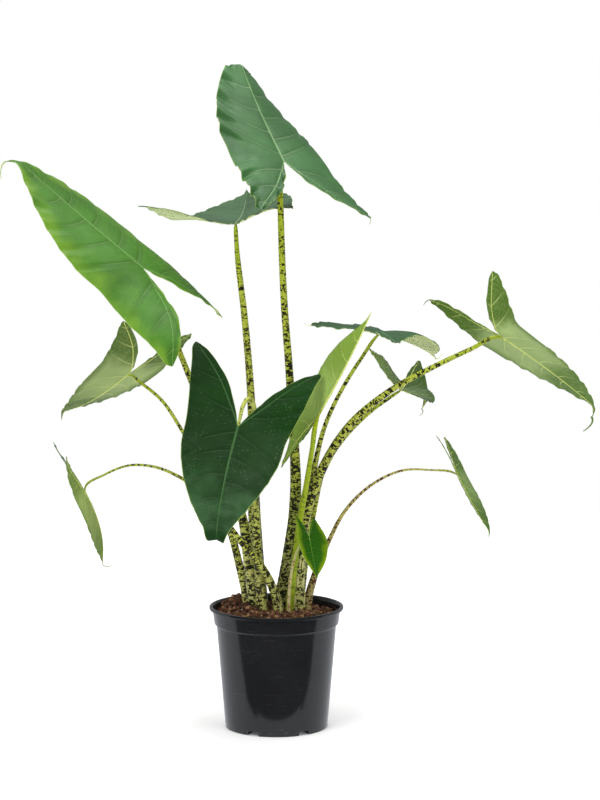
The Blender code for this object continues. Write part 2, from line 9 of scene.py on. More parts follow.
import bpy
import numpy as np
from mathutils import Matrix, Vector


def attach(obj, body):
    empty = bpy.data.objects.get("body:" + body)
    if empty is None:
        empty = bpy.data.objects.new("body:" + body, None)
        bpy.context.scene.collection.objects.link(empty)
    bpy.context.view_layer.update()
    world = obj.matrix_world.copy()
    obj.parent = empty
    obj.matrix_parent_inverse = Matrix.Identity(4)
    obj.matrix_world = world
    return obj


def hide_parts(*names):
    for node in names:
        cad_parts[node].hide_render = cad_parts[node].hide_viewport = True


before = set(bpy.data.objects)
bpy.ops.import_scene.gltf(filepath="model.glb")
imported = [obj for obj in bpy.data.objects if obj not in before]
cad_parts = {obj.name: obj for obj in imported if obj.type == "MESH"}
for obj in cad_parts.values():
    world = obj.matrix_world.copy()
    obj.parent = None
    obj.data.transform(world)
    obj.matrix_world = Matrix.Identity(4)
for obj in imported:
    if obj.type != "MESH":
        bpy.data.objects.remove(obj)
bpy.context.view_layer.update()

scene = bpy.context.scene
rng = np.random.default_rng(20)

# ------------------------------------------------------------------- the CAD's own sizes
POT_H, RIM_R, LIP_H = 0.191, 0.105, 0.0045
COLLAR_TOP_R, COLLAR_BOT_R, COLLAR_H = 0.0998, 0.0972, 0.0270
BODY_TOP_R, FOOT_R, WALL, FLOOR_T = 0.0938, 0.0803, 0.0016, 0.0016
CHANNELS, CHANNEL_W, CHANNEL_H, CHANNEL_IN_R = 6, 0.0195, 0.0065, 0.036
CHANNEL_START, HOLE_R, HOLE_RING_R = radians(-117.0), 0.0055, 0.052
SOIL_EDGE_Z, SOIL_MID_Z = 0.1765, 0.1845
RHIZOME_C, RHIZOME_R = (0.004, 0.004, 0.136), (0.058, 0.042, 0.024)
PETIOLE_FOOT_GAP = 0.0045
SINUS = 0.03

KEY, FILL, TOP, AMBIENT = 58.0, 30.0, 42.0, 0.52     # lamp powers and the level of the room

LEAVES = {
    "01": dict(at=(0.009, 0.050, 0.888), heading=117, rise=41, roll=12, length=0.265, width=(0.092, 0.090),
               lobe=(0.131, 0.130), spread=(0.093, 0.109), hook=(0.76, 0.12), bend=-11, tip=163, sweep=0, twist=10,
               fold=(4, 12, -20), curl=(-22, -27, -18), droop=(3, -13),
               lobe_fold=(10, 11), lobe_curl=(-20, -19)),
    "02": dict(at=(-0.067, 0.200, 0.779), heading=85, rise=3, roll=-9, length=0.256, width=(0.091, 0.097),
               lobe=(0.130, 0.128), spread=(0.144, 0.109), bend=-17, tip=-7, sweep=2, twist=-9,
               fold=(18, 18, 23), curl=(-10, -13, -20), droop=(1, 0),
               lobe_fold=(38, 31), lobe_curl=(-16, -35)),
    "03": dict(at=(-0.210, -0.020, 0.726), heading=170, rise=39, roll=-23, length=0.266, width=(0.098, 0.106),
               lobe=(0.152, 0.144), spread=(0.145, 0.109), bend=-9, tip=64, sweep=8, twist=2,
               fold=(8, 7, -7), curl=(-39, -50, -27), droop=(4, 7),
               lobe_fold=(37, 3), lobe_curl=(-54, -45)),
    "04": dict(at=(-0.235, 0.080, 0.546), heading=142, rise=-34, roll=6, length=0.188, width=(0.064, 0.064),
               lobe=(0.106, 0.102), spread=(0.076, 0.066), bend=-27, tip=77, sweep=-10, twist=-8,
               fold=(14, 7, 5), curl=(-5, -13, -18), droop=(-23, -13),
               lobe_fold=(23, 21), lobe_curl=(-9, -28)),
    "05": dict(at=(-0.294, -0.060, 0.381), heading=219, rise=-121, roll=33, length=0.140, width=(0.054, 0.053),
               lobe=(0.080, 0.075), spread=(0.043, 0.048), bend=-34, tip=15, sweep=-11, twist=12,
               fold=(20, 16, 19), curl=(-14, -16, -7), droop=(29, 8),
               lobe_fold=(26, 30), lobe_curl=(-21, -23)),
    "06": dict(at=(-0.058, -0.130, 0.484), heading=-105, rise=-42, roll=-13, length=0.254, width=(0.077, 0.078),
               lobe=(0.118, 0.141), spread=(0.108, 0.099), hook=(0.80, 0.09), bend=-13, tip=160, sweep=10, twist=1,
               fold=(-5, 7, 18), curl=(9, 6, 3), droop=(19, 5),
               lobe_fold=(25, 26), lobe_curl=(-11, -19)),
    "07": dict(at=(0.065, -0.065, 0.498), heading=-36, rise=56, roll=-42, length=0.185, width=(0.063, 0.054),
               lobe=(0.090, 0.098), spread=(0.054, 0.040), bend=-17, tip=-2, sweep=-1, twist=14,
               fold=(69, 72, 63), curl=(1, 12, -10), droop=(-7, 30),
               lobe_fold=(74, 77), lobe_curl=(-4, 14)),
    "08": dict(at=(0.160, 0.050, 0.613), heading=63, rise=-9, roll=3, length=0.220, width=(0.079, 0.079),
               lobe=(0.104, 0.102), spread=(0.068, 0.078), bend=13, tip=11, sweep=-3, twist=21,
               fold=(16, 19, 9), curl=(-20, -31, -18), droop=(15, 17),
               lobe_fold=(9, 5), lobe_curl=(1, -12)),
    "09": dict(at=(0.197, 0.090, 0.521), heading=73, rise=-12, roll=23, length=0.195, width=(0.067, 0.045),
               lobe=(0.101, 0.106), spread=(0.059, 0.060), bend=0, tip=93, sweep=3, twist=6,
               fold=(23, 18, 5), curl=(20, 11, -12), droop=(-4, -5),
               lobe_fold=(38, 52), lobe_curl=(-6, 6)),
    "10": dict(at=(0.347, -0.030, 0.616), heading=9, rise=-34, roll=-27, length=0.206, width=(0.070, 0.073),
               lobe=(0.112, 0.083), spread=(0.082, 0.089), bend=0, tip=88, sweep=13, twist=11,
               fold=(9, 2, 6), curl=(-2, -17, -16), droop=(-9, -1),
               lobe_fold=(29, 35), lobe_curl=(-25, -16)),
    "11": dict(at=(0.285, 0.030, 0.393), heading=6, rise=-64, roll=-5, length=0.115, width=(0.043, 0.043),
               lobe=(0.064, 0.069), spread=(0.035, 0.034), bend=-10, tip=50, sweep=9, twist=-9,
               fold=(13, 12, 13), curl=(-9, -11, -11), droop=(13, 15),
               lobe_fold=(18, 18), lobe_curl=(-11, -8)),
    "12": dict(at=(0.051, -0.075, 0.311), heading=-73, rise=-55, roll=-20, length=0.073, width=(0.029, 0.027),
               lobe=(0.037, 0.035), spread=(0.019, 0.018), bend=-10, tip=8, sweep=-6, twist=5,
               fold=(15, 15, 11), curl=(-4, -3, -11), droop=(18, 13),
               lobe_fold=(10, 12), lobe_curl=(-11, -10)),
}

# Each petiole's route, foot first: x, y, z in metres and its radius in mm.
# The last stretch, to the joint with the blade, follows from LEAVES.
ROUTES = {
    "01": [(0.011, 0.010, 0.180, 12.0), (0.021, 0.015, 0.264, 12.0), (0.028, 0.018, 0.325, 10.0), (0.021, 0.026, 0.543, 6.2),
           (0.012, 0.031, 0.667, 5.4), (0.007, 0.037, 0.799, 4.8), (0.006, 0.046, 0.850, 4.2)],
    "02": [(-0.029, 0.019, 0.180, 11.0), (-0.031, 0.028, 0.252, 10.8), (-0.036, 0.048, 0.347, 9.5), (-0.041, 0.100, 0.507, 6.2),
           (-0.052, 0.145, 0.632, 5.2), (-0.065, 0.182, 0.742, 3.8)],
    "03": [(-0.031, -0.006, 0.180, 8.5), (-0.043, -0.008, 0.264, 8.5), (-0.052, -0.010, 0.328, 7.5), (-0.066, -0.010, 0.375, 6.3),
           (-0.095, -0.006, 0.454, 5.4), (-0.133, 0.002, 0.547, 4.6), (-0.164, 0.008, 0.624, 4.2), (-0.193, 0.006, 0.690, 3.4)],
    "04": [(-0.046, 0.009, 0.170, 6.2), (-0.047, 0.010, 0.197, 6.2), (-0.061, 0.019, 0.263, 6.0), (-0.070, 0.026, 0.297, 5.6),
           (-0.105, 0.045, 0.383, 4.0), (-0.148, 0.062, 0.457, 2.9), (-0.184, 0.075, 0.508, 2.6), (-0.215, 0.080, 0.533, 2.3)],
    "05": [(0.006, -0.028, 0.172, 6.2), (0.001, -0.031, 0.205, 6.2), (-0.013, -0.039, 0.243, 6.0), (-0.029, -0.048, 0.270, 5.6),
           (-0.047, -0.053, 0.292, 5.0), (-0.069, -0.058, 0.322, 4.4), (-0.101, -0.065, 0.366, 3.4), (-0.142, -0.070, 0.401, 2.6),
           (-0.186, -0.070, 0.420, 2.1), (-0.222, -0.067, 0.422, 1.8), (-0.262, -0.062, 0.407, 1.6)],
    "06": [(-0.021, -0.023, 0.180, 7.0), (-0.030, -0.032, 0.301, 6.6), (-0.033, -0.045, 0.397, 5.0), (-0.031, -0.066, 0.475, 4.0),
           (-0.032, -0.078, 0.505, 3.7), (-0.036, -0.093, 0.524, 3.5), (-0.0435, -0.106, 0.528, 3.3), (-0.050, -0.1125, 0.516, 3.1),
           (-0.0535, -0.1145, 0.501, 2.6)],
    "07": [(0.019, -0.018, 0.180, 5.4), (0.041, -0.041, 0.357, 4.6), (0.047, -0.047, 0.391, 4.3), (0.055, -0.057, 0.442, 3.8)],
    "08": [(0.032, 0.019, 0.180, 6.2), (0.045, 0.026, 0.290, 5.8), (0.057, 0.032, 0.390, 4.6), (0.078, 0.038, 0.475, 3.5),
           (0.104, 0.043, 0.529, 3.1), (0.133, 0.048, 0.575, 2.8)],
    "09": [(0.036, 0.035, 0.180, 5.0), (0.056, 0.048, 0.318, 4.6), (0.079, 0.060, 0.406, 3.6), (0.110, 0.068, 0.450, 3.0),
           (0.150, 0.078, 0.488, 2.6)],
    "10": [(0.031, -0.004, 0.180, 10.0), (0.036, -0.008, 0.268, 10.0), (0.045, -0.009, 0.333, 8.6), (0.073, -0.012, 0.412, 7.2),
           (0.116, -0.016, 0.480, 5.9), (0.171, -0.021, 0.528, 5.0), (0.250, -0.026, 0.573, 4.0), (0.300, -0.028, 0.597, 3.4)],
    "11": [(0.047, 0.004, 0.170, 5.6), (0.049, 0.006, 0.194, 5.6), (0.060, 0.010, 0.237, 5.0), (0.082, 0.012, 0.291, 3.6),
           (0.106, 0.016, 0.336, 2.9), (0.151, 0.021, 0.380, 2.2), (0.199, 0.025, 0.401, 1.8), (0.241, 0.028, 0.401, 1.5)],
    "12": [(0.019, -0.034, 0.180, 2.6), (0.020, -0.039, 0.213, 2.5), (0.022, -0.044, 0.240, 2.2), (0.027, -0.052, 0.270, 1.9), (0.036, -0.064, 0.296, 1.6)],
}
# Where the petiole meets the blade: metres behind the joint, metres below the
# blade's middle surface, and the end's radius in mm.
JOINT = {"06": (0.006, 0.007, 1.2)}

# ------------------------------------------------------------------- the CAD's leaf surface
def spline(knots, n):
    """A smooth curve through rows of numbers, spaced by the length of x, y, z."""
    k = np.array(knots, float)
    t = np.r_[0.0, np.cumsum(np.linalg.norm(np.diff(k[:, :3], axis=0), axis=1))]
    d = np.diff(k, axis=0) / np.diff(t)[:, None]
    m = np.zeros_like(k)
    w = np.diff(t)
    m[1:-1] = (d[:-1] * w[1:, None] + d[1:] * w[:-1, None]) / (w[1:] + w[:-1])[:, None]
    m[0], m[-1] = d[0], d[-1]
    s = np.linspace(0.0, t[-1], n)
    i = np.clip(np.searchsorted(t, s, side="right") - 1, 0, len(t) - 2)
    h = (t[i + 1] - t[i])[:, None]
    u = ((s - t[i]) / h[:, 0])[:, None]
    return ((2 * u**3 - 3 * u**2 + 1) * k[i] + (u**3 - 2 * u**2 + u) * h * m[i]
            + (3 * u**2 - 2 * u**3) * k[i + 1] + (u**3 - u**2) * h * m[i + 1])


# -------------------------------------------------------------- leaf surface
def ramp(x):
    x = np.clip(x, 0.0, 1.0)
    return x * x * (3 - 2 * x)


def rotation(axis, angle):
    c, s = np.cos(angle), np.sin(angle)
    m = np.zeros(np.shape(angle) + (3, 3))
    i, j, k = {"x": (0, 1, 2), "y": (1, 2, 0), "z": (2, 0, 1)}[axis]
    m[..., i, i] = 1
    m[..., j, j] = m[..., k, k] = c
    m[..., j, k], m[..., k, j] = -s, s
    return m


def through(knots, at, x):
    """A smooth curve through knots that sit at the values at, read at x."""
    k, at = np.asarray(knots, float), np.asarray(at, float)
    d = np.diff(k, axis=0) / np.diff(at)[:, None]
    m = np.zeros_like(k)
    m[1:-1] = 0.5 * (d[1:] + d[:-1])
    m[0], m[-1] = d[0], d[-1]
    i = np.clip(np.searchsorted(at, x, side="right") - 1, 0, len(at) - 2)
    h = at[i + 1] - at[i]
    t, h = ((x - at[i]) / h)[..., None], h[..., None]
    return ((2 * t**3 - 3 * t**2 + 1) * k[i] + (t**3 - 2 * t**2 + t) * h * m[i]
            + (3 * t**2 - 2 * t**3) * k[i + 1] + (t**3 - t**2) * h * m[i + 1])


def outline(leaf, side, a, b):
    """The blade laid flat. a runs from the lobe tip (-1) past the joint with
    the petiole (0) to the apex (1), b from the midrib or the sinus (0) to the
    outer margin (1)."""
    L, W = leaf["length"], leaf["width"][side]
    lobe, S = leaf["lobe"][side], leaf["spread"][side]
    back = SINUS * L
    outer = [(-lobe, S), (-.93 * lobe, S + .035 * W), (-.74 * lobe, .8 * S + .22 * W), (-.47 * lobe, .52 * S + .49 * W),
             (-.2 * lobe, .22 * S + .78 * W), (.03 * L, W), (.22 * L, .965 * W), (.44 * L, .8 * W), (.66 * L, .52 * W),
             (.83 * L, .22 * W), (.915 * L, .07 * W), (L, .004 * W)]
    outer_at = [-1, -.9, -.7, -.45, -.2, 0, .2, .42, .64, .82, .91, 1]
    sinus = [(-lobe, S - .02 * W), (-.93 * lobe, .8 * S), (-.62 * lobe, .36 * S), (-.28 * lobe, .11 * S), (-back, 0)]
    sinus_at = [-1, -.85, -.55, -.25, 0]
    o = through(outer, outer_at, a)
    i = through(sinus, sinus_at, np.minimum(a, 0))
    mid = np.stack([-back + (L + back) * np.maximum(a, 0), 0 * a], -1)
    i = np.where((a > 0)[..., None], mid, i)
    q = i + (o - i) * b[..., None]
    # the side veins sweep forward between the midrib and the margin
    q[..., 0] -= .10 * L * b * (1 - b) * np.where(a > 0, np.sin(pi * np.clip(a, 0, 1)), 0)
    return q[..., 0], q[..., 1]


def frame_of(leaf):
    return (rotation("z", radians(leaf["heading"])) @ rotation("y", -radians(leaf["rise"]))
            @ rotation("x", radians(leaf["roll"])))


def surface(leaf, side, a, b):
    """Points of the blade's middle surface. side 0 is the left half."""
    u, v = outline(leaf, side, a, b)
    L, W, lobe = leaf["length"], leaf["width"][side], leaf["lobe"][side]
    sign = 1.0 if side == 0 else -1.0
    n = 60
    g = np.linspace(0, 1, n + 1)
    # the midrib as a bent spine: it nods, sways, and hooks over at the tip
    start, span = leaf.get("hook", (.86, .14))
    nod = np.radians(leaf["bend"] * g**1.4 + leaf["tip"] * ramp((g - start) / span))
    sway = np.radians(leaf["sweep"] * g**1.2)
    T = (rotation("y", nod) @ rotation("z", sway))[:, :, 0]
    spine = np.zeros((n + 1, 3))
    spine[1:] = np.cumsum(.5 * (T[1:] + T[:-1]) * L / n, 0)
    # behind the joint each lobe bends down along its own spine
    sag = np.radians(leaf["droop"][side] * 1.2 * g**1.2)
    T = np.stack([-np.cos(sag), 0 * sag, -np.sin(sag)], -1)
    rear = np.zeros((n + 1, 3))
    rear[1:] = np.cumsum(.5 * (T[1:] + T[:-1]) * lobe * 1.2 / n, 0)

    fore = u >= 0
    x, xb = np.clip(u / L, 0, 1), np.clip(-u / (1.2 * lobe), 0, 1)

    def along(t, rows):
        return np.stack([np.interp(t, g, rows[:, k]) for k in range(3)], -1)

    p = np.where(fore[..., None], along(x, spine), along(xb, rear))
    pitch = np.where(fore, np.interp(x, g, nod), -np.interp(xb, g, sag))
    yaw = np.where(fore, np.interp(x, g, sway), 0)
    turn = np.where(fore, radians(leaf["twist"]) * x, 0)
    M = rotation("y", pitch) @ rotation("z", yaw) @ rotation("x", turn)

    # across, each half is an arc: it leaves the midrib at the fold angle
    k = ramp(-u / lobe)
    f0, f1, f2 = leaf["fold"][side], leaf["fold"][2], leaf["lobe_fold"][side]
    c0, c1, c2 = leaf["curl"][side], leaf["curl"][2], leaf["lobe_curl"][side]
    fold = np.radians(np.where(fore, f0 + (f1 - f0) * ramp(x), f0 + (f2 - f0) * k))
    curl = np.radians(np.where(fore, c0 + (c1 - c0) * ramp(x), c0 + (c2 - c0) * k)) / W
    curl = np.where(np.abs(curl) < 1e-3, 1e-3, curl)
    y = (np.sin(fold + curl * v) - np.sin(fold)) / curl
    z = (np.cos(fold) - np.cos(fold + curl * v)) / curl
    q = p + sign * M[..., :, 1] * y[..., None] + M[..., :, 2] * z[..., None]
    return q @ frame_of(leaf).T + np.array(leaf["at"])


# ------------------------------------------------------------------- shading helpers
def lin(r, g, b):
    """A colour given as 0-255 display values, as the linear colour a shader takes."""
    c = [x / 255.0 for x in (r, g, b)]
    return tuple(x / 12.92 if x <= 0.04045 else ((x + 0.055) / 1.055) ** 2.4 for x in c)


class Look:
    """One node material, written as small steps."""

    def __init__(self, name, roughness=0.5, **fixed):
        self.mat = bpy.data.materials.new(name)
        self.mat.use_nodes = True
        self.nt = self.mat.node_tree
        self.nt.nodes.clear()
        out = self.nt.nodes.new("ShaderNodeOutputMaterial")
        self.bsdf = self.nt.nodes.new("ShaderNodeBsdfPrincipled")
        self.nt.links.new(self.bsdf.outputs[0], out.inputs[0])
        self.bsdf.inputs["Roughness"].default_value = roughness
        for k, v in fixed.items():
            self.bsdf.inputs[k.replace("_", " ")].default_value = v
        self.place = self.nt.nodes.new("ShaderNodeTexCoord").outputs["Object"]

    def node(self, kind, **props):
        n = self.nt.nodes.new("ShaderNode" + kind)
        for k, v in props.items():
            setattr(n, k, v)
        return n

    def put(self, socket, value):
        if isinstance(value, bpy.types.NodeSocket):
            self.nt.links.new(value, socket)
        elif isinstance(value, tuple) and len(value) == 3 and socket.type == "RGBA":
            socket.default_value = (*value, 1.0)
        else:
            socket.default_value = value

    def math(self, op, *args, clamp=False):
        n = self.node("Math", operation=op, use_clamp=clamp)
        for s, v in zip(n.inputs, args):
            self.put(s, v)
        return n.outputs[0]

    def attr(self, name):
        return self.node("Attribute", attribute_name=name).outputs["Fac"]

    def vector(self, name):
        return self.node("Attribute", attribute_name=name).outputs["Vector"]

    def colour_attr(self, name):
        return self.node("Attribute", attribute_name=name).outputs["Color"]

    def scaled(self, vec, xyz):
        n = self.node("VectorMath", operation="MULTIPLY")
        self.put(n.inputs[0], vec)
        n.inputs[1].default_value = xyz
        return n.outputs[0]

    def noise(self, scale, detail=3.0, rough=0.5, distortion=0.0, vec=None):
        n = self.node("TexNoise")
        self.put(n.inputs["Vector"], self.place if vec is None else vec)
        n.inputs["Scale"].default_value = scale
        n.inputs["Detail"].default_value = detail
        n.inputs["Roughness"].default_value = rough
        n.inputs["Distortion"].default_value = distortion
        return n.outputs["Fac"]

    def cells(self, scale, feature="F1", vec=None, randomness=1.0):
        n = self.node("TexVoronoi", feature=feature)
        self.put(n.inputs["Vector"], self.place if vec is None else vec)
        n.inputs["Scale"].default_value = scale
        n.inputs["Randomness"].default_value = randomness
        return n.outputs["Distance"]

    def step(self, x, lo, hi, a=0.0, b=1.0):
        """Smoothly from a to b as x goes from lo to hi."""
        n = self.node("MapRange", interpolation_type="SMOOTHSTEP")
        self.put(n.inputs["Value"], x)
        for k, v in (("From Min", lo), ("From Max", hi), ("To Min", a), ("To Max", b)):
            self.put(n.inputs[k], v)
        return n.outputs[0]

    def mix(self, fac, a, b, blend="MIX"):
        n = self.node("Mix", data_type="RGBA", blend_type=blend)
        self.put(n.inputs[0], fac)
        self.put(n.inputs[6], a)
        self.put(n.inputs[7], b)
        return n.outputs[2]

    def bump(self, height, distance, strength=1.0, normal=None):
        n = self.node("Bump")
        n.inputs["Strength"].default_value = strength
        n.inputs["Distance"].default_value = distance
        self.put(n.inputs["Height"], height)
        if normal is not None:
            self.put(n.inputs["Normal"], normal)
        return n.outputs[0]

    def finish(self, colour=None, roughness=None, normal=None):
        if colour is not None:
            self.put(self.bsdf.inputs["Base Color"], colour)
        if roughness is not None:
            self.put(self.bsdf.inputs["Roughness"], roughness)
        if normal is not None:
            self.put(self.bsdf.inputs["Normal"], normal)
        return self.mat


def shade(c, k):
    return tuple(min(1.0, x * k) for x in c)


# ------------------------------------------------------------------- mesh helpers
def make(name, verts, faces, mats, attributes=None, face_mats=None, sharp=None):
    me = bpy.data.meshes.new(name)
    me.from_pydata([tuple(v) for v in np.asarray(verts, float)], [], [tuple(f) for f in faces])
    for m in mats:
        me.materials.append(m)
    if face_mats is not None:
        me.polygons.foreach_set("material_index", np.asarray(face_mats, np.int32))
    for key, value in (attributes or {}).items():
        value = np.asarray(value, np.float32)
        if value.ndim == 1:
            me.attributes.new(key, "FLOAT", "POINT").data.foreach_set("value", value)
        elif value.shape[1] == 3:
            me.attributes.new(key, "FLOAT_VECTOR", "POINT").data.foreach_set("vector", value.ravel())
        else:
            me.attributes.new(key, "FLOAT_COLOR", "POINT").data.foreach_set("color", value.ravel())
    me.shade_smooth()
    if sharp is not None:
        me.set_sharp_from_angle(angle=radians(sharp))
    me.update()
    ob = bpy.data.objects.new(name, me)
    scene.collection.objects.link(ob)
    return ob


_lattice = np.random.default_rng(5).random((64, 64, 64)).astype(np.float32)


def value_noise(p):
    i = np.floor(p).astype(int)
    f = p - i
    f = f * f * (3 - 2 * f)
    out = 0
    for dx in (0, 1):
        for dy in (0, 1):
            for dz in (0, 1):
                w = (f[..., 0] if dx else 1 - f[..., 0]) * (f[..., 1] if dy else 1 - f[..., 1]) * (f[..., 2] if dz else 1 - f[..., 2])
                out = out + w * _lattice[(i[..., 0] + dx) % 64, (i[..., 1] + dy) % 64, (i[..., 2] + dz) % 64]
    return out


def fractal(p, octaves=4, gain=0.5):
    """Noise from -1 to 1 at the points p, its coarsest feature about one unit."""
    total, amp, norm = 0, 1.0, 0.0
    for k in range(octaves):
        total = total + amp * (value_noise(p * 2.0**k + 17.3 * k) * 2 - 1)
        norm += amp
        amp *= gain
    return total / norm


# ------------------------------------------------------------------- blades
# Upper side, underside and vein colours of each leaf, as display values, and how strongly its margins wave (left,
# right) in mm.
# The colours are partly each leaf's own and partly painted light: the undersides are painted paler to stand in for
# light shining through the thin blades, and each leaf is set lighter or darker after how lit or shaded it stands. Leaf
# 06 also holds the colour of a painted sheen patch, and the leaves seen from below a darker green painted where their
# undersides lie in shade and backlight.
SKIN = {
    "01": dict(top=(56, 97, 52), under=(150, 178, 110), vein=(122, 154, 104), wave=(3.8, 0.9), pillow=1.2, veins=0.5),
    "02": dict(top=(62, 92, 60), under=(196, 212, 150), vein=(128, 150, 112), wave=(0.8, 1.4), pillow=0.9, veins=0.45),
    "03": dict(top=(60, 106, 30), under=(170, 190, 116), vein=(118, 156, 84), wave=(1.2, 1.0), pillow=0.8, veins=0.30, gloss=0.18, ribs=0.5, blush=(112, 150, 44)),
    "04": dict(top=(58, 92, 46), under=(150, 170, 104), painted_shade=(62, 92, 20), vein=(176, 196, 128), wave=(1.2, 1.2), pillow=0.8),
    "05": dict(top=(52, 92, 42), under=(160, 182, 100), painted_shade=(104, 132, 48), vein=(190, 206, 130), wave=(1.0, 1.0), pillow=0.7),
    "06": dict(top=(17, 50, 12), under=(110, 134, 76), vein=(62, 98, 54), wave=(0.6, 0.5), pillow=0.6, veins=0.30, gloss=0.07, painted_sheen=(56, 90, 54)),
    "07": dict(top=(92, 132, 48), under=(140, 168, 84), painted_shade=(116, 146, 50), vein=(176, 196, 116), wave=(0.5, 0.5), pillow=0.7),
    "08": dict(top=(44, 80, 44), under=(212, 222, 160), vein=(110, 140, 96), wave=(1.4, 1.2), pillow=0.9),
    "09": dict(top=(116, 144, 78), under=(84, 112, 46), painted_shade=(58, 86, 28), vein=(150, 174, 104), wave=(1.0, 1.0), pillow=0.7),
    "10": dict(top=(40, 82, 32), under=(152, 174, 108), painted_shade=(62, 98, 4), vein=(186, 202, 126), wave=(1.2, 1.2), pillow=0.8),
    "11": dict(top=(52, 98, 36), under=(118, 146, 72), painted_shade=(64, 98, 24), vein=(176, 196, 116), wave=(0.7, 0.7), pillow=0.6),
    "12": dict(top=(34, 84, 3), under=(150, 182, 80), vein=(94, 140, 50), wave=(0.5, 0.5), pillow=0.6, gloss=0.12, blush=(150, 176, 10)),
}
# Threads at the tips: where, the bend and the end in mm from the tip, radius in mm.
THREADS = {
    "01": [("right", (3, 0, -4), (-2, 0, -10), 0.8)],
    "03": [("apex", (-9, -2, -6), (-6, -3, -26), 1.4)],
    "05": [("apex", (7, 0, -6), (19, 0, 3), 0.8)],
    "08": [("left", (-6, 0, -1), (-12, 0, 5), 0.7), ("apex", (9, 0, 0), (10, 0, 9), 0.8)],
    "09": [("apex", (5, 0, -7), (-4, 0, -11), 0.8)],
    "10": [("apex", (6, 0, -10), (-13, 0, -22), 1.9), ("left", (-8, 0, -2), (-10, 0, -9), 0.9)],
}
VEINS_FORE, VEINS_REAR = 5.4, 3.3      # side veins per half, before and behind the joint
SWEEP = 0.19                           # how far a side vein runs forward by the margin


def rib_line(a):
    """Where the lobe's own rib runs, between the sinus (0) and the margin (1)."""
    return np.where(a < 0, 0.5 * np.abs(np.minimum(a, 0)) ** 1.3, 0.0)


def beyond_rib(a, b):
    r = rib_line(a)
    return np.where(b >= r, (b - r) / np.maximum(1 - r, 1e-6), (r - b) / np.maximum(r, 0.04))


def vein_phase(a, b, side):
    """Counts the side veins: one runs along each whole number."""
    s = SWEEP * beyond_rib(a, b) ** 1.35
    c = np.where(a >= s, (a - s) / (1 - s), np.where(a <= -s, (a + s) / (1 - s), 0.0))
    phase = 0.7 + np.where(c > 0, VEINS_FORE * c, VEINS_REAR * c)
    if side == 1:
        phase = phase + 0.3 * ramp(c / 0.15)
    return phase


def metric(leaf, side, a, b):
    """The surface's steps per unit a and b, as vectors."""
    e = 1e-3
    a0, a1 = np.clip(a - e, -1, 1), np.clip(a + e, -1, 1)
    b0, b1 = np.clip(b - e, 0, 1), np.clip(b + e, 0, 1)
    pa = (surface(leaf, side, a1, b) - surface(leaf, side, a0, b)) / (a1 - a0)[..., None]
    pb = (surface(leaf, side, a, b1) - surface(leaf, side, a, b0)) / (b1 - b0)[..., None]
    return pa, pb


def half(key, side, a, b):
    """Mid-surface points of one half, displaced by pillowing and a wavy margin."""
    leaf, skin = LEAVES[key], SKIN[key]
    size = leaf["length"] / 0.25
    p = surface(leaf, side, a, b)
    pa, pb = metric(leaf, side, a, b)
    e = 2e-3
    f0 = vein_phase(np.clip(a - e, -1, 1), b, side)
    f1 = vein_phase(np.clip(a + e, -1, 1), b, side)
    g0 = vein_phase(a, np.clip(b - e, 0, 1), side)
    g1 = vein_phase(a, np.clip(b + e, 0, 1), side)
    fa = (f1 - f0) / (np.clip(a + e, -1, 1) - np.clip(a - e, -1, 1))
    fb = (g1 - g0) / (np.clip(b + e, 0, 1) - np.clip(b - e, 0, 1))
    A, B, C = (pa * pa).sum(-1), (pa * pb).sum(-1), (pb * pb).sum(-1)
    det = np.maximum(A * C - B * B, 1e-9)
    grad = np.sqrt(np.maximum((C * fa**2 - 2 * B * fa * fb + A * fb**2) / det, 1.0))
    pitch = np.minimum(1.0 / grad, 0.08)                 # metres from vein to vein
    out = beyond_rib(a, b)
    phase = vein_phase(a, b, side)
    r = rib_line(a)
    lb = np.sqrt(C)
    rib = (b - r) * lb                                   # signed metres from the rib
    edge = (1 - b) * lb
    edge = np.where(a < 0, np.minimum(edge, b * lb + 0.0), edge)
    edge = np.maximum(edge, 0.0022 * ramp((0.016 - lb) / 0.008))
    rib_w = (0.0021 * size**0.6) * np.where(a >= 0, 1 - 0.72 * np.clip(a, 0, 1), 0.72 * (1 - 0.55 * np.clip(-a, 0, 1)))
    side_w = 0.00115 * size**0.5 * (1 - 0.6 * np.clip(out, 0, 1))
    n = np.cross(pa, pb)
    n = n / np.maximum(np.linalg.norm(n, axis=-1, keepdims=True), 1e-9) * (1 if side == 0 else -1)
    # pillows between the side veins, and waves along the margin
    fade = ramp((1 - np.abs(a)) / 0.12) * ramp(edge / 0.004)
    lift = skin["pillow"] * 1e-3 * size * (np.abs(np.sin(pi * phase)) ** 0.8 - 0.45) * ramp(out / 0.12) * (1 - 0.45 * out) * fade
    wander = fractal(np.stack([a * 3.1 + 5 * side, b * 1.5, np.full_like(a, float(key))], -1), 2)
    wave = skin["wave"][side] * 1e-3 * size * ramp((out - 0.45) / 0.55) * ramp((1 - np.abs(a)) / 0.1)
    lift = lift + wave * (np.sin(2 * pi * (phase + 0.35 * wander)) + 0.5 * np.sin(4 * pi * phase + 3 * wander + 1.1))
    p = p + n * lift[..., None]
    q = dict(vein=phase, pitch=pitch / side_w, rib=rib / rib_w, edge=edge, out=out, along=a, ribw=rib_w, sidew=side_w, fade=fade)
    return p, q


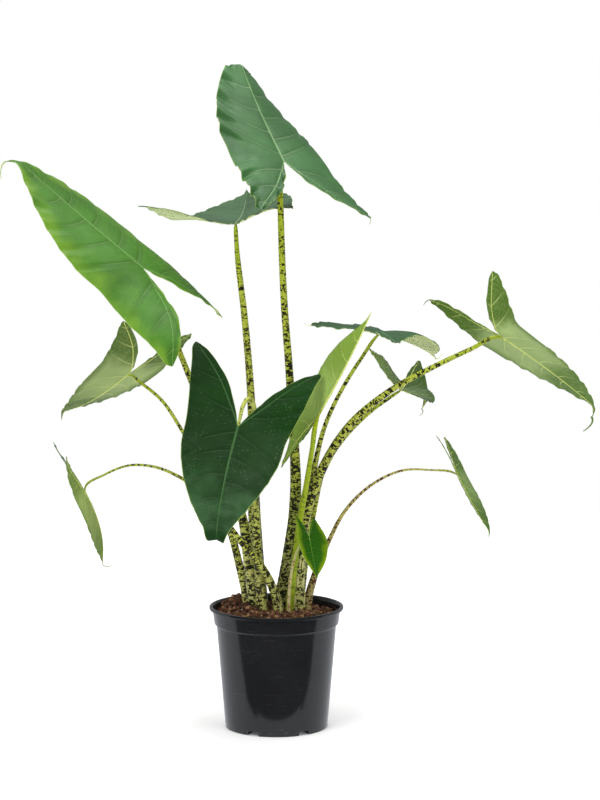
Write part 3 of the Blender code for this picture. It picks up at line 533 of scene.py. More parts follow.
def blade(key):
    leaf = LEAVES[key]
    size = leaf["length"] / 0.25
    lobe = max(leaf["lobe"])
    step_a = 0.0017 * max(size, 0.5)
    na, nl = int(leaf["length"] / step_a), int(lobe / step_a)
    ends = lambda n: 1 - (1 - np.linspace(0, 1, n + 1)) ** 1.12
    A = np.r_[-ends(nl)[::-1], ends(na)[1:]]
    A[0], A[-1], A[nl] = -1, 1, 0
    nb = int(np.clip(max(leaf["width"]) / 0.0020 / max(size, 0.5), 30, 50))
    t = np.linspace(0, 1, nb + 1)
    B = 0.35 * t + 0.65 * t**1.45
    a, b = np.meshgrid(A, B, indexing="ij")
    R, C, zero = len(A), len(B), nl
    parts = [half(key, s, a, b) for s in (0, 1)]
    ids = np.zeros((2, R, C), int)
    verts, cols = [], {k: [] for k in parts[0][1]}
    count = 0
    for s in (0, 1):
        p, q = parts[s]
        own = np.ones((R, C), bool)
        own[0, 1:] = False
        own[R - 1, 1:] = False
        if s == 1:
            own[zero:, 0] = False
            own[R - 1] = False
        n = int(own.sum())
        ids[s][own] = count + np.arange(n)
        count += n
        verts.append(p[own])
        for k in cols:
            cols[k].append(q[k][own])
    ids[0, 0, :] = ids[0, 0, 0]
    ids[1, 0, :] = ids[1, 0, 0]
    ids[0, R - 1, :] = ids[0, R - 1, 0]
    ids[1, R - 1, :] = ids[0, R - 1, 0]
    ids[1, zero:R, 0] = ids[0, zero:R, 0]
    P = np.concatenate(verts)
    q = {k: np.concatenate(v) for k, v in cols.items()}
    faces = []
    for s in (0, 1):
        i0, i1, i2, i3 = ids[s][:-1, :-1].ravel(), ids[s][1:, :-1].ravel(), ids[s][1:, 1:].ravel(), ids[s][:-1, 1:].ravel()
        quad = np.stack([i0, i1, i2, i3], 1) if s == 0 else np.stack([i0, i3, i2, i1], 1)
        faces.append(quad)
    F = np.concatenate(faces)
    clean = []
    for f in F.tolist():
        f = list(dict.fromkeys(f))
        if len(f) > 2:
            clean.append(f)
    # normals of the sheet
    N = np.zeros_like(P)
    d1, d2 = P[F[:, 2]] - P[F[:, 0]], P[F[:, 3]] - P[F[:, 1]]
    fn = np.cross(d1, d2)
    for k in range(4):
        np.add.at(N, F[:, k], fn)
    N /= np.maximum(np.linalg.norm(N, axis=1, keepdims=True), 1e-12)
    # ribs and side veins stand out below and lie in grooves above
    near_rib = np.exp(-np.abs(q["rib"]) ** 2.0 * 0.9)
    frac = np.abs(q["vein"] - np.round(q["vein"])) * q["pitch"]
    near_side = np.exp(-frac**2 * 0.9) * ramp(q["out"] / 0.03 + 0.3) * (1 - 0.7 * np.clip(q["out"], 0, 1)) * q["fade"]
    thick = (0.00034 + 0.00008 * ramp(q["edge"] / 0.004)) * np.clip(size, 0.7, 1.1)
    below = thick + q["ribw"] * 0.85 * near_rib * np.clip(ramp(q["edge"] / 0.0012), 0.15, 1) + q["sidew"] * 0.75 * near_side
    above = thick - q["ribw"] * 0.28 * near_rib * (1 - 0.6 * near_rib) - q["sidew"] * 0.35 * near_side
    top, bottom = P + N * above[:, None], P - N * below[:, None]
    n = len(P)
    V = np.concatenate([top, bottom])
    allf = [tuple(f) for f in clean] + [tuple(i + n for i in reversed(f)) for f in clean]
    mats = [0] * len(clean) + [1] * len(clean)
    edges = {}
    for f in clean:
        for u, v in zip(f, f[1:] + f[:1]):
            edges[(u, v)] = True
    for (u, v) in edges:
        if (v, u) not in edges:
            allf.append((v, u, u + n, v + n))
            mats.append(0)
    att = {k: np.r_[q[k], q[k]] for k in ("vein", "pitch", "rib", "edge", "out", "along")}
    # the drawn-out threads at the tips
    for where, via, end, r in THREADS.get(key, ()):
        k = ids[0, R - 1, 0] if where == "apex" else ids[0, 0, 0] if where == "left" else ids[1, 0, 0]
        p0 = P[k] - N[k] * 0.0002
        e = np.linspace(0, 1, 13)[:, None]
        via, end = p0 + np.array(via) * 0.001, p0 + np.array(end) * 0.001
        line = (1 - e) ** 2 * p0 + 2 * e * (1 - e) * via + e * e * end
        line = np.r_[line[:1] - (line[1] - line[0]) * 0.6, line]
        tang = np.gradient(line, axis=0)
        tang /= np.linalg.norm(tang, axis=1, keepdims=True)
        u = np.cross(tang, [0.0, 1.0, 0.0])
        u /= np.linalg.norm(u, axis=1, keepdims=True)
        w = np.cross(u, tang)
        rad = r * 0.001 * np.linspace(1.0, 0.28, len(line)) ** 0.8
        loop = np.arange(7) / 7 * 2 * pi
        tube = line[:, None] + rad[:, None, None] * (np.cos(loop)[:, None] * u[:, None] + np.sin(loop)[:, None] * w[:, None])
        n0, L = len(V), len(line)
        V = np.r_[V, tube.reshape(-1, 3)]
        for i in range(L - 1):
            for j in range(7):
                j1 = (j + 1) % 7
                allf.append((n0 + i * 7 + j, n0 + i * 7 + j1, n0 + (i + 1) * 7 + j1, n0 + (i + 1) * 7 + j))
                mats.append(1)
        allf.append(tuple(n0 + j for j in reversed(range(7))))
        allf.append(tuple(n0 + (L - 1) * 7 + j for j in range(7)))
        mats += [1, 1]
        for name, v in dict(vein=0.5, pitch=9.0, rib=4.0, edge=0.01, out=0.5, along=1.0).items():
            att[name] = np.r_[att[name], np.full(L * 7, v)]
    ob = make("leaf_%s" % key, V, allf, [leaf_top(key), leaf_under(key)], att, mats, sharp=80)
    return ob


def vein_masks(m):
    """Where the side veins and the rib are, from the blade's own coordinates."""
    phase = m.attr("vein")
    frac = m.math("ABSOLUTE", m.math("SUBTRACT", phase, m.math("ROUND", phase)))
    d = m.math("MULTIPLY", frac, m.attr("pitch"))
    rib = m.math("ABSOLUTE", m.attr("rib"))
    out = m.attr("out")
    wobble = m.math("MULTIPLY", m.noise(60, 2), 0.5)
    side = m.step(m.math("ADD", d, wobble), 1.45, 0.5)
    side = m.math("MULTIPLY", side, m.step(out, 0.98, 0.35, 0.12, 1.0))
    # the fine veins that run with the side veins
    fine = m.math("MULTIPLY", m.math("ADD", phase, m.math("MULTIPLY", m.noise(26, 3), 0.16)), 6.0)
    fine = m.math("ABSOLUTE", m.math("SUBTRACT", fine, m.math("ROUND", fine)))
    fine = m.step(fine, 0.24, 0.02)
    return side, m.step(rib, 1.15, 0.55), fine, out


def leaf_top(key):
    s = SKIN[key]
    base, vein = lin(*s["top"]), lin(*s["vein"])
    m = Look("leaf_%s_upper" % key, 0.48, Specular_IOR_Level=s.get("gloss", 0.22))
    side, rib, fine, out = vein_masks(m)
    col = m.mix(m.step(m.noise(9, 3, 0.55), 0.35, 0.68), shade(base, 0.78), shade(base, 1.26))
    warm = tuple(x * k for x, k in zip(base, (1.32, 1.12, 0.72)))
    col = m.mix(m.math("MULTIPLY", m.step(m.noise(31, 4, 0.6), 0.5, 0.78), 0.5), col, warm)
    col = m.mix(m.math("MULTIPLY", m.step(m.noise(240, 3, 0.6), 0.42, 0.66), 0.28), col, shade(base, 0.72))
    net = m.step(m.cells(430, "DISTANCE_TO_EDGE"), 0.10, 0.0)
    col = m.mix(m.math("MULTIPLY", net, 0.16), col, shade(base, 1.5))
    col = m.mix(m.math("MULTIPLY", fine, 0.20), col, shade(base, 1.45))
    dots = m.math("MULTIPLY", m.step(m.cells(300), 0.16, 0.05), m.step(m.noise(36, 2), 0.45, 0.62))
    col = m.mix(m.math("MULTIPLY", dots, 0.55), col, tuple(0.5 * x + 0.5 * y for x, y in zip(base, vein)))
    # painted shade beside the veins, standing in for the shadow of their grooves; pale along them
    along = m.attr("along")
    if "painted_sheen" in s:                                       # painted sheen: a paler patch towards the tip stands in for a soft broad highlight; then the leaf's own pinprick dots
        sheen_cloud = m.math("MULTIPLY", m.step(m.noise(14, 3, 0.55), 0.36, 0.66), m.step(along, 0.22, 0.60))
        sheen_cloud = m.math("MULTIPLY", sheen_cloud, m.step(along, 0.98, 0.80))
        col = m.mix(m.math("MULTIPLY", sheen_cloud, 0.62), col, lin(*s["painted_sheen"]))
        dust = m.math("MULTIPLY", m.step(m.cells(240), 0.15, 0.06), m.step(m.noise(22, 2), 0.38, 0.55))
        col = m.mix(m.math("MULTIPLY", dust, 0.6), col, lin(140, 166, 130))
    # painted shade in a hem beside each side vein, standing in for the shadow in its groove, then the vein itself
    groove_shade = m.math("MULTIPLY", m.step(m.math("MULTIPLY", m.math("ABSOLUTE", m.math("SUBTRACT", m.attr("vein"), m.math("ROUND", m.attr("vein")))), m.attr("pitch")), 9.0, 1.2), m.step(out, 1.0, 0.4, 0.1, 1.0))
    col = m.mix(m.math("MULTIPLY", groove_shade, 0.45), col, shade(base, 0.60))
    col = m.mix(m.math("MULTIPLY", side, s.get("veins", 0.5)), col, vein)
    col = m.mix(m.math("MULTIPLY", rib, s.get("ribs", 0.74)), col, vein)
    if "blush" in s:                                       # yellower towards the margin
        warmth = m.math("MULTIPLY", m.step(m.math("ADD", out, m.math("MULTIPLY", m.math("SUBTRACT", m.noise(24, 3, 0.55), 0.5), 1.3)), 0.45, 1.15), 0.62)
        col = m.mix(warmth, col, lin(*s["blush"]))
    # a pale line along the outer margin: partly the blade's own pale edge, partly a painted rim highlight
    edge = m.attr("edge")
    col = m.mix(m.math("MULTIPLY", m.step(edge, 0.0011, 0.0003), 0.6), col, lin(150, 178, 84))
    rough = m.step(m.noise(70, 3), 0.3, 0.75, 0.40, 0.56)
    height = m.math("ADD", m.math("MULTIPLY", fine, -0.5), m.math("MULTIPLY", m.noise(420, 3, 0.6), 0.8))
    height = m.math("SUBTRACT", height, m.math("MULTIPLY", net, 0.3))
    return m.finish(col, rough, m.bump(height, 0.00016, 0.35))


def leaf_under(key):
    s = SKIN[key]
    base = lin(*s["under"])
    pale = tuple(0.45 * x + 0.55 * y for x, y in zip(base, lin(206, 214, 128)))
    m = Look("leaf_%s_under" % key, 0.58, Specular_IOR_Level=0.13)
    side, rib, fine, out = vein_masks(m)
    col = m.mix(m.step(m.noise(11, 3, 0.55), 0.35, 0.68), shade(base, 0.86), shade(base, 1.12))
    if "painted_shade" in s:                                        # painted shade and backlight: a darker, greener colour on the lobes, margins and tip
        shaded_part = m.math("ABSOLUTE", m.math("SUBTRACT", m.attr("along"), 0.14))
        shaded_part = m.math("ADD", shaded_part, m.math("MULTIPLY", m.math("SUBTRACT", m.noise(17, 3, 0.55), 0.5), 0.5))
        shaded_part = m.math("MAXIMUM", m.step(shaded_part, 0.12, 0.50), m.step(out, 0.70, 1.0, 0.0, 0.8))
        col = m.mix(m.math("MULTIPLY", shaded_part, 0.92), col, lin(*s["painted_shade"]))
    col = m.mix(m.math("MULTIPLY", m.step(m.noise(180, 3, 0.6), 0.42, 0.66), 0.25), col, shade(base, 0.78))
    net = m.step(m.cells(330, "DISTANCE_TO_EDGE"), 0.12, 0.0)
    col = m.mix(m.math("MULTIPLY", net, 0.22), col, shade(base, 0.72))
    col = m.mix(m.math("MULTIPLY", fine, 0.22), col, shade(base, 0.74))
    col = m.mix(m.math("MULTIPLY", side, 0.75), col, pale)
    col = m.mix(m.math("MULTIPLY", rib, 0.95), col, lin(196, 206, 112))
    edge = m.attr("edge")
    col = m.mix(m.math("MULTIPLY", m.step(edge, 0.0013, 0.0003), 0.7), col, lin(84, 112, 44))
    rough = m.step(m.noise(90, 3), 0.3, 0.75, 0.48, 0.62)
    height = m.math("ADD", m.math("MULTIPLY", fine, 0.6), m.math("MULTIPLY", m.noise(260, 2, 0.5), 0.3))
    height = m.math("ADD", height, m.math("MULTIPLY", net, 0.2))
    return m.finish(col, rough, m.bump(height, 0.00012, 0.3))


# ------------------------------------------------------------------- petioles
# Ground colour at the foot, half-way and by the blade, the mark's colour, and
# how much of the surface the marks cover at the foot, half-way and by the blade.
STALK = {
    "zebra": dict(foot=(184, 182, 112), mid=(166, 172, 66), top=(140, 158, 24), mark=(22, 21, 13), cover=(0.58, 0.50, 0.20)),
    "01": dict(foot=(186, 184, 112), mid=(158, 168, 56), top=(136, 150, 8), mark=(22, 21, 12), cover=(0.60, 0.50, 0.22)),
    "06": dict(foot=(170, 168, 98), mid=(166, 172, 76), top=(184, 192, 96), mark=(34, 31, 17), cover=(0.58, 0.50, 0.04)),
    "07": dict(foot=(146, 158, 30), mid=(146, 164, 8), top=(150, 168, 16), mark=(96, 116, 12), cover=(0.34, 0.20, 0.08)),
    "11": dict(foot=(176, 162, 104), mid=(166, 156, 88), top=(150, 158, 60), mark=(74, 44, 26), cover=(0.54, 0.44, 0.24)),
    "12": dict(foot=(190, 174, 138), mid=(190, 184, 128), top=(160, 172, 80), mark=(136, 96, 58), cover=(0.24, 0.16, 0.06)),
}


def foot_z(x, y):
    q = 1 - ((x - RHIZOME_C[0]) / RHIZOME_R[0])**2 - ((y - RHIZOME_C[1]) / RHIZOME_R[1])**2
    return RHIZOME_C[2] + RHIZOME_R[2] * max(q, 0.25)**0.5 + PETIOLE_FOOT_GAP


def stalk_path(key):
    """The CAD's route, carried on into the underside of the midrib."""
    rows = [[x, y, z, r * 0.001] for x, y, z, r in ROUTES[key]]
    p0, p1 = np.array(rows[0]), np.array(rows[1])
    d = (p1 - p0)[:3] / (p1 - p0)[2]
    foot = [*(p0[:3] + d * (foot_z(p0[0], p0[1]) - p0[2])), p0[3]]
    leaf = LEAVES[key]
    size = leaf["length"] / 0.25
    back, below, r_end = JOINT.get(key, (0.004, 0.0045, 1.3))
    F = frame_of(leaf)
    at = np.array(leaf["at"])
    r_last = rows[-1][3]
    r_end = max(r_end * 0.001, 0.62 * r_last)
    joint = at + F @ np.array([-back, 0.0, -below * 0.75])
    out = [foot] + rows + [[*joint, r_end]]
    for a, r in ((0.035, 0.62), (0.10, 0.36)):
        p = surface(leaf, 0, np.array([a]), np.array([0.0]))[0]
        out.append([*(p - F[:, 2] * 0.0016 * size), max(r * r_end, 0.0006)])
    return np.array(out)


def petiole(key):
    knots = stalk_path(key)
    length = np.linalg.norm(np.diff(knots[:, :3], axis=0), axis=1).sum()
    n = int(length / 0.0022)
    pts = spline(knots, n)
    P, Rr = pts[:, :3], np.maximum(pts[:, 3], 0.0004)
    s = np.r_[0, np.cumsum(np.linalg.norm(np.diff(P, axis=0), axis=1))]
    T = np.gradient(P, axis=0)
    T /= np.linalg.norm(T, axis=1, keepdims=True)
    # frames carried along without twist
    X = np.zeros_like(P)
    x = np.array([1.0, 0, 0]) - T[0] * T[0][0]
    X[0] = x / np.linalg.norm(x)
    for i in range(1, n):
        x = X[i - 1] - T[i] * (X[i - 1] @ T[i])
        X[i] = x / np.linalg.norm(x)
    Y = np.cross(T, X)
    sides = 28
    th = np.arange(sides) / sides * 2 * pi
    seed = float(key)
    r0 = Rr[0]
    S, TH = np.meshgrid(s, th, indexing="ij")
    R = Rr[:, None] * np.ones_like(TH)
    thick = np.clip(r0 / 0.012, 0.2, 1.0)
    # the sheath wraps the foot: a flap with a thin pale margin that narrows upwards
    reach = 0.13 * thick + 0.02
    turn = seed * 2.4
    half_w = 1.0 * (1 - S / reach)
    away = np.abs(((TH - turn + pi) % (2 * pi)) - pi)
    inside = ramp((half_w - away) / 0.16 + 0.5) * (S < reach * 1.05)
    R = R * (1 - 0.10 * inside)
    lip = np.exp(-((away - half_w) / 0.07) ** 2) * ramp((reach - S) / (0.2 * reach)) * (half_w > 0)
    R = R + 0.00055 * thick * lip
    # low ribs and slight unevenness
    R = R * (1 + 0.016 * np.sin(9 * TH + seed) * ramp(S / 0.03) + 0.02 * fractal(np.stack([np.cos(TH) * 1.2, np.sin(TH) * 1.2, S / 0.02 + 9 * seed], -1), 2))
    Z = P[:, 2][:, None] * np.ones_like(TH)
    swell = 1 + 0.52 * thick * np.exp(-(np.maximum(Z - 0.178, 0) / 0.055) ** 2) * ramp((Z - 0.150) / 0.02)
    R = R * swell
    V = P[:, None, :] + R[..., None] * (np.cos(TH)[..., None] * X[:, None, :] + np.sin(TH)[..., None] * Y[:, None, :])
    straight = np.stack([np.cos(TH) * Rr[:, None] + seed * 0.37, np.sin(TH) * Rr[:, None], S], -1)
    frac = S / s[-1]
    V, straight = V.reshape(-1, 3), straight.reshape(-1, 3)
    i, j = np.meshgrid(np.arange(n - 1), np.arange(sides), indexing="ij")
    k = (j + 1) % sides
    faces = np.stack([i * sides + j, i * sides + k, (i + 1) * sides + k, (i + 1) * sides + j], -1).reshape(-1, 4).tolist()
    V = np.r_[V, P[:1] - T[:1] * Rr[0] * 0.2, P[-1:] + T[-1:] * Rr[-1] * 0.8]
    c0, c1 = n * sides, n * sides + 1
    straight = np.r_[straight, straight[:1], straight[-1:]]
    pad = lambda v, a, b: np.r_[v.ravel(), a, b]
    for q in range(sides):
        faces.append([c0, (q + 1) % sides, q])
        faces.append([c1, (n - 1) * sides + q, (n - 1) * sides + (q + 1) % sides])
    att = dict(straight=straight, up=pad(frac, 0, 1), lip=pad(lip, 0, 0), inner=pad(inside, 0, 0),
               thin=pad(np.repeat(Rr[:, None], sides, 1), Rr[0], Rr[-1]))
    return make("stalk_%s" % key, V, faces, [stalk_skin(key)], att)


def stalk_skin(key):
    k = STALK.get(key, STALK["zebra"])
    m = Look("stalk_%s_skin" % key, 0.45, Specular_IOR_Level=0.3)
    up = m.attr("up")
    foot, mid, top, mark = (lin(*k[c]) for c in ("foot", "mid", "top", "mark"))
    straight = m.vector("straight")
    ground = m.mix(m.step(up, 0.04, 0.34), foot, mid)
    ground = m.mix(m.step(up, 0.55, 0.96), ground, top)
    streak = m.noise(1.0, 3, 0.6, vec=m.scaled(straight, (420, 420, 40)))
    ground = m.mix(m.math("MULTIPLY", m.step(streak, 0.38, 0.7), 0.4), ground, shade(mid, 1.22))
    ground = m.mix(m.math("MULTIPLY", m.step(m.noise(1.0, 2, 0.5, vec=m.scaled(straight, (150, 150, 60))), 0.5, 0.75), 0.35), ground, shade(mid, 0.74))
    # broken cross bands; near the foot they stand steeper and run together
    bands = m.noise(1.0, 1.2, 0.45, 1.3, vec=m.scaled(straight, (112, 112, 235)))
    blots = m.noise(1.0, 1.2, 0.45, 1.9, vec=m.scaled(straight, (250, 250, 135)))
    pattern = m.math("ADD", m.math("MULTIPLY", bands, m.step(up, 0.02, 0.3, 0.45, 0.78)),
                     m.math("MULTIPLY", blots, m.step(up, 0.02, 0.3, 0.55, 0.22)))
    c0, c1, c2 = (0.5 + 0.21 * (0.5 - c) for c in k["cover"])
    level = m.math("ADD", m.step(up, 0.05, 0.5, c0, c1), m.step(up, 0.5, 0.97, 0.0, c2 - c1))
    spots = m.step(m.math("SUBTRACT", pattern, level), -0.003, 0.009)
    spots = m.math("MULTIPLY", spots, m.step(up, 0.985, 0.93))
    spots = m.math("MULTIPLY", spots, m.step(m.attr("lip"), 0.5, 0.15))
    dark = m.mix(m.step(m.noise(600, 2), 0.35, 0.7), mark, shade(mark, 1.6))
    col = m.mix(m.math("MULTIPLY", spots, 0.98), ground, dark)
    col = m.mix(m.math("MULTIPLY", m.step(m.attr("lip"), 0.35, 0.85), 0.75), col, lin(214, 206, 160))
    rough = m.step(m.noise(220, 3), 0.3, 0.75, 0.34, 0.5)
    height = m.math("ADD", m.math("MULTIPLY", streak, 0.8), m.math("MULTIPLY", spots, 0.25))
    return m.finish(col, rough, m.bump(height, 0.00025, 0.5))


# ------------------------------------------------------------------- soil
def soil_height(x, y):
    r = np.hypot(x, y)
    z = SOIL_MID_Z + (SOIL_EDGE_Z - SOIL_MID_Z) * ramp((r - 0.035) / 0.059)
    z = z + 0.0185 * np.exp(-(((x + 0.064) / 0.024) ** 2 + ((y - 0.034) / 0.034) ** 2))
    z = z + 0.0060 * np.exp(-(((x + 0.045) / 0.03) ** 2 + ((y + 0.020) / 0.05) ** 2))
    z = z + 0.0085 * np.exp(-(((x + 0.020) / 0.06) ** 2 + ((y + 0.074) / 0.020) ** 2))
    z = z + 0.0055 * np.exp(-(((x - 0.050) / 0.032) ** 2 + ((y + 0.058) / 0.03) ** 2))
    z = z - 0.0025 * np.exp(-(((x - 0.07) / 0.03) ** 2 + ((y - 0.03) / 0.04) ** 2))
    return z


def lump(radius, squash, detail, seed_rng):
    """One irregular crumb as vertices and faces, round the origin."""
    bpy_free = ICO[detail]
    v = bpy_free[0] * (1 + 0.34 * fractal(bpy_free[0] * 1.3 + seed_rng.random(3) * 40, 2)[:, None])
    v = v * radius * np.array([1.0, 0.55 + 0.45 * seed_rng.random(), squash])
    q = seed_rng.normal(size=4)
    q /= np.linalg.norm(q)
    w, x, y, z = q
    M = np.array([[1 - 2 * (y * y + z * z), 2 * (x * y - z * w), 2 * (x * z + y * w)],
                  [2 * (x * y + z * w), 1 - 2 * (x * x + z * z), 2 * (y * z - x * w)],
                  [2 * (x * z - y * w), 2 * (y * z + x * w), 1 - 2 * (x * x + y * y)]])
    return v @ M.T, bpy_free[1]


def icosphere(subdivisions):
    import bmesh
    bm = bmesh.new()
    bmesh.ops.create_icosphere(bm, subdivisions=subdivisions, radius=1.0)
    v = np.array([x.co[:] for x in bm.verts])
    f = np.array([[x.index for x in p.verts] for p in bm.faces])
    bm.free()
    return v, f


ICO = {1: icosphere(1), 2: icosphere(2)}


def soil():
    top_r = COLLAR_TOP_R - WALL - 0.0012
    rings, around = 120, 330
    rr = top_r * (np.arange(1, rings + 1) / rings) ** 0.85
    th = np.arange(around) / around * 2 * pi
    RR, TH = np.meshgrid(rr, th, indexing="ij")
    # the bed meets the wall where the pot is that wide
    x, y = RR * np.cos(TH), RR * np.sin(TH)
    edge = ramp((top_r - RR) / 0.006)
    z = soil_height(x, y)
    q = np.stack([x, y, 0 * x], -1)
    rough = 0.0044 * np.abs(fractal(q * 95, 4, 0.55)) * 2 - 0.0020 + 0.0019 * fractal(q * 330 + 3, 3)
    z = z + rough * (0.35 + 0.65 * edge)
    lim = np.minimum(RR, 0.0955 - 0.0004 + (z - 0.165) * 0.1)
    x, y = lim * np.cos(TH), lim * np.sin(TH)
    verts = [np.stack([x, y, z], -1).reshape(-1, 3)]
    centre = rings * around
    # down the wall and across the bottom
    zlow = [0.1645, 0.1622, 0.09, 0.0092]
    rlow = [COLLAR_BOT_R - WALL - 0.0006, BODY_TOP_R - WALL - 0.0006, 0.0, 0.0]
    slope = (BODY_TOP_R - FOOT_R - 0.0006) / (POT_H - COLLAR_H - 0.0025)
    rlow[2] = FOOT_R - WALL - 0.0004 + slope * 0.09
    rlow[3] = FOOT_R - WALL - 0.0004 + slope * 0.0092
    for r, zz in zip(rlow, zlow):
        verts.append(np.stack([r * np.cos(th), r * np.sin(th), np.full(around, zz)], -1))
    verts.append(np.array([[0, 0, float(soil_height(np.array(0.0), np.array(0.0)))], [0, 0, zlow[-1]]]))
    V = np.concatenate(verts)
    total_rings = rings + len(zlow)
    i, j = np.meshgrid(np.arange(total_rings - 1), np.arange(around), indexing="ij")
    k = (j + 1) % around
    F = np.stack([i * around + j, (i + 1) * around + j, (i + 1) * around + k, i * around + k], -1).reshape(-1, 4).tolist()
    c0, c1 = total_rings * around, total_rings * around + 1
    last = (total_rings - 1) * around
    for q_ in range(around):
        F.append([c0, q_, (q_ + 1) % around])
        F.append([c1, last + (q_ + 1) % around, last + q_])
    tone_and_shade = np.zeros((len(V), 4), np.float32)
    # painted shade and highlight: the bed is darkest in its hollows and browner on its raised bits, standing in for
    # shadow in the gaps and light on the tops; the crumbs keep their own colours
    dark, brown, tan = np.array(lin(26, 16, 12)), np.array(lin(98, 64, 48)), np.array(lin(160, 120, 90))
    h = np.zeros(len(V))
    h[:rings * around] = (rough.reshape(-1) + 0.0008) / 0.0065
    tone_and_shade[:, :3] = dark + (brown - dark) * np.clip(h, 0, 1)[:, None]
    tone_and_shade[:, 3] = 1
    vs, fs, ts = [V], F, [tone_and_shade]
    base = len(V)
    bits = np.random.default_rng(41)

    def add(v, f, colour):
        nonlocal base
        vs.append(v)
        fs.extend((np.asarray(f) + base).tolist())
        t = np.ones((len(v), 4), np.float32)
        t[:, :3] = colour
        ts.append(t)
        base += len(v)

    def spot(limit=0.0925):
        r, t = limit * np.sqrt(bits.random()), bits.random() * 2 * pi
        return np.array([r * cos(t), r * sin(t)])

    for n in range(1500):                                   # crumbs of peat and bark
        p = spot()
        size = 0.0007 + 0.0033 * bits.random() ** 2.2
        v, f = lump(size, 0.7 + 0.3 * bits.random(), 1 if size < 0.0016 else 2, bits)
        z = float(soil_height(p[0], p[1])) + 0.0008 + size * 0.35
        c = brown * (0.25 + 1.15 * bits.random()) if bits.random() < 0.8 else tan * (0.6 + 0.6 * bits.random())
        add(v + [p[0], p[1], z], f, c)
    for n in range(150):                                    # fibres
        p = spot(0.088)
        a, l, r = bits.random() * 2 * pi, 0.006 + 0.016 * bits.random(), 0.00016 + 0.00022 * bits.random()
        m, bend, rise = 9, (bits.random() - 0.5) * 2.4, (bits.random() - 0.35) * 0.5
        t = np.linspace(-0.5, 0.5, m)
        ang = a + bend * t
        xy = np.cumsum(np.stack([np.cos(ang), np.sin(ang)], -1) * l / m, 0) + p
        rad = np.hypot(xy[:, 0], xy[:, 1])
        if rad.max() > 0.092:
            continue
        z = soil_height(xy[:, 0], xy[:, 1]) + 0.0026 + l * rise * t * 0.6
        path = np.c_[xy, z]
        tang = np.gradient(path, axis=0)
        tang /= np.linalg.norm(tang, axis=1, keepdims=True)
        nx = np.cross(tang, [0, 0, 1.0])
        nx /= np.linalg.norm(nx, axis=1, keepdims=True)
        nz = np.cross(nx, tang)
        rr_ = r * np.sin(np.linspace(0.25, pi - 0.25, m))
        ring = np.stack([path + rr_[:, None] * (cos(q_) * nx + sin(q_) * nz) for q_ in np.arange(5) / 5 * 2 * pi], 1)
        f = [[a_ * 5 + b_, a_ * 5 + (b_ + 1) % 5, (a_ + 1) * 5 + (b_ + 1) % 5, (a_ + 1) * 5 + b_] for a_ in range(m - 1) for b_ in range(5)]
        f = f + [[4, 3, 2, 1, 0]] + [[(m - 1) * 5 + b_ for b_ in range(5)]]
        vs.append(ring.reshape(-1, 3))
        fs.extend([[i_ + base for i_ in row] for row in f])
        t4 = np.ones((m * 5, 4), np.float32)
        t4[:, :3] = tan * (0.45 + 0.9 * bits.random())
        ts.append(t4)
        base += m * 5
    for n in range(95):                                     # perlite and slow-release granules
        p = spot(0.090)
        grain = bits.random()
        size = 0.0006 + 0.0007 * bits.random()
        v, f = lump(size, 0.9, 1, bits)
        c = np.array(lin(206, 214, 196)) if grain < 0.6 else np.array(lin(176, 186, 110)) if grain < 0.85 else np.array(lin(190, 160, 110))
        add(v + [p[0], p[1], float(soil_height(p[0], p[1])) + 0.0022 + 0.4 * size], f, c)
    m = Look("potting_mix", 0.92, Specular_IOR_Level=0.22)
    tone_and_shade_in = m.colour_attr("tone_and_shade")
    col = m.mix(m.math("MULTIPLY", m.step(m.noise(520, 4, 0.65), 0.42, 0.62), 0.55), tone_and_shade_in, lin(34, 22, 18))
    col = m.mix(m.math("MULTIPLY", m.step(m.noise(1500, 3, 0.6), 0.52, 0.66), 0.4), col, lin(168, 124, 92))
    rough_out = m.step(m.noise(300, 2), 0.3, 0.7, 0.85, 1.0)
    m.finish(col, rough_out, m.bump(m.noise(1100, 4, 0.7), 0.0006, 0.9))
    return make("soil_bed", np.concatenate(vs), fs, [m.mat], dict(tone_and_shade=np.concatenate(ts)))


# ------------------------------------------------------------------- pot
def filleted(corners, n=5):
    """A profile whose corners (r, z, radius) are rounded off."""
    out = []
    for k, (r, z, f) in enumerate(corners):
        if f <= 0 or k in (0, len(corners) - 1):
            out.append((r, z))
            continue
        p = np.array([r, z])
        a, b = np.array(corners[k - 1][:2]) - p, np.array(corners[k + 1][:2]) - p
        la, lb = np.linalg.norm(a), np.linalg.norm(b)
        f = min(f, 0.45 * la, 0.45 * lb)
        s, e = p + a / la * f, p + b / lb * f
        for t in np.linspace(0, 1, n):
            out.append(tuple((1 - t) ** 2 * s + 2 * t * (1 - t) * p + t * t * e))
    return out


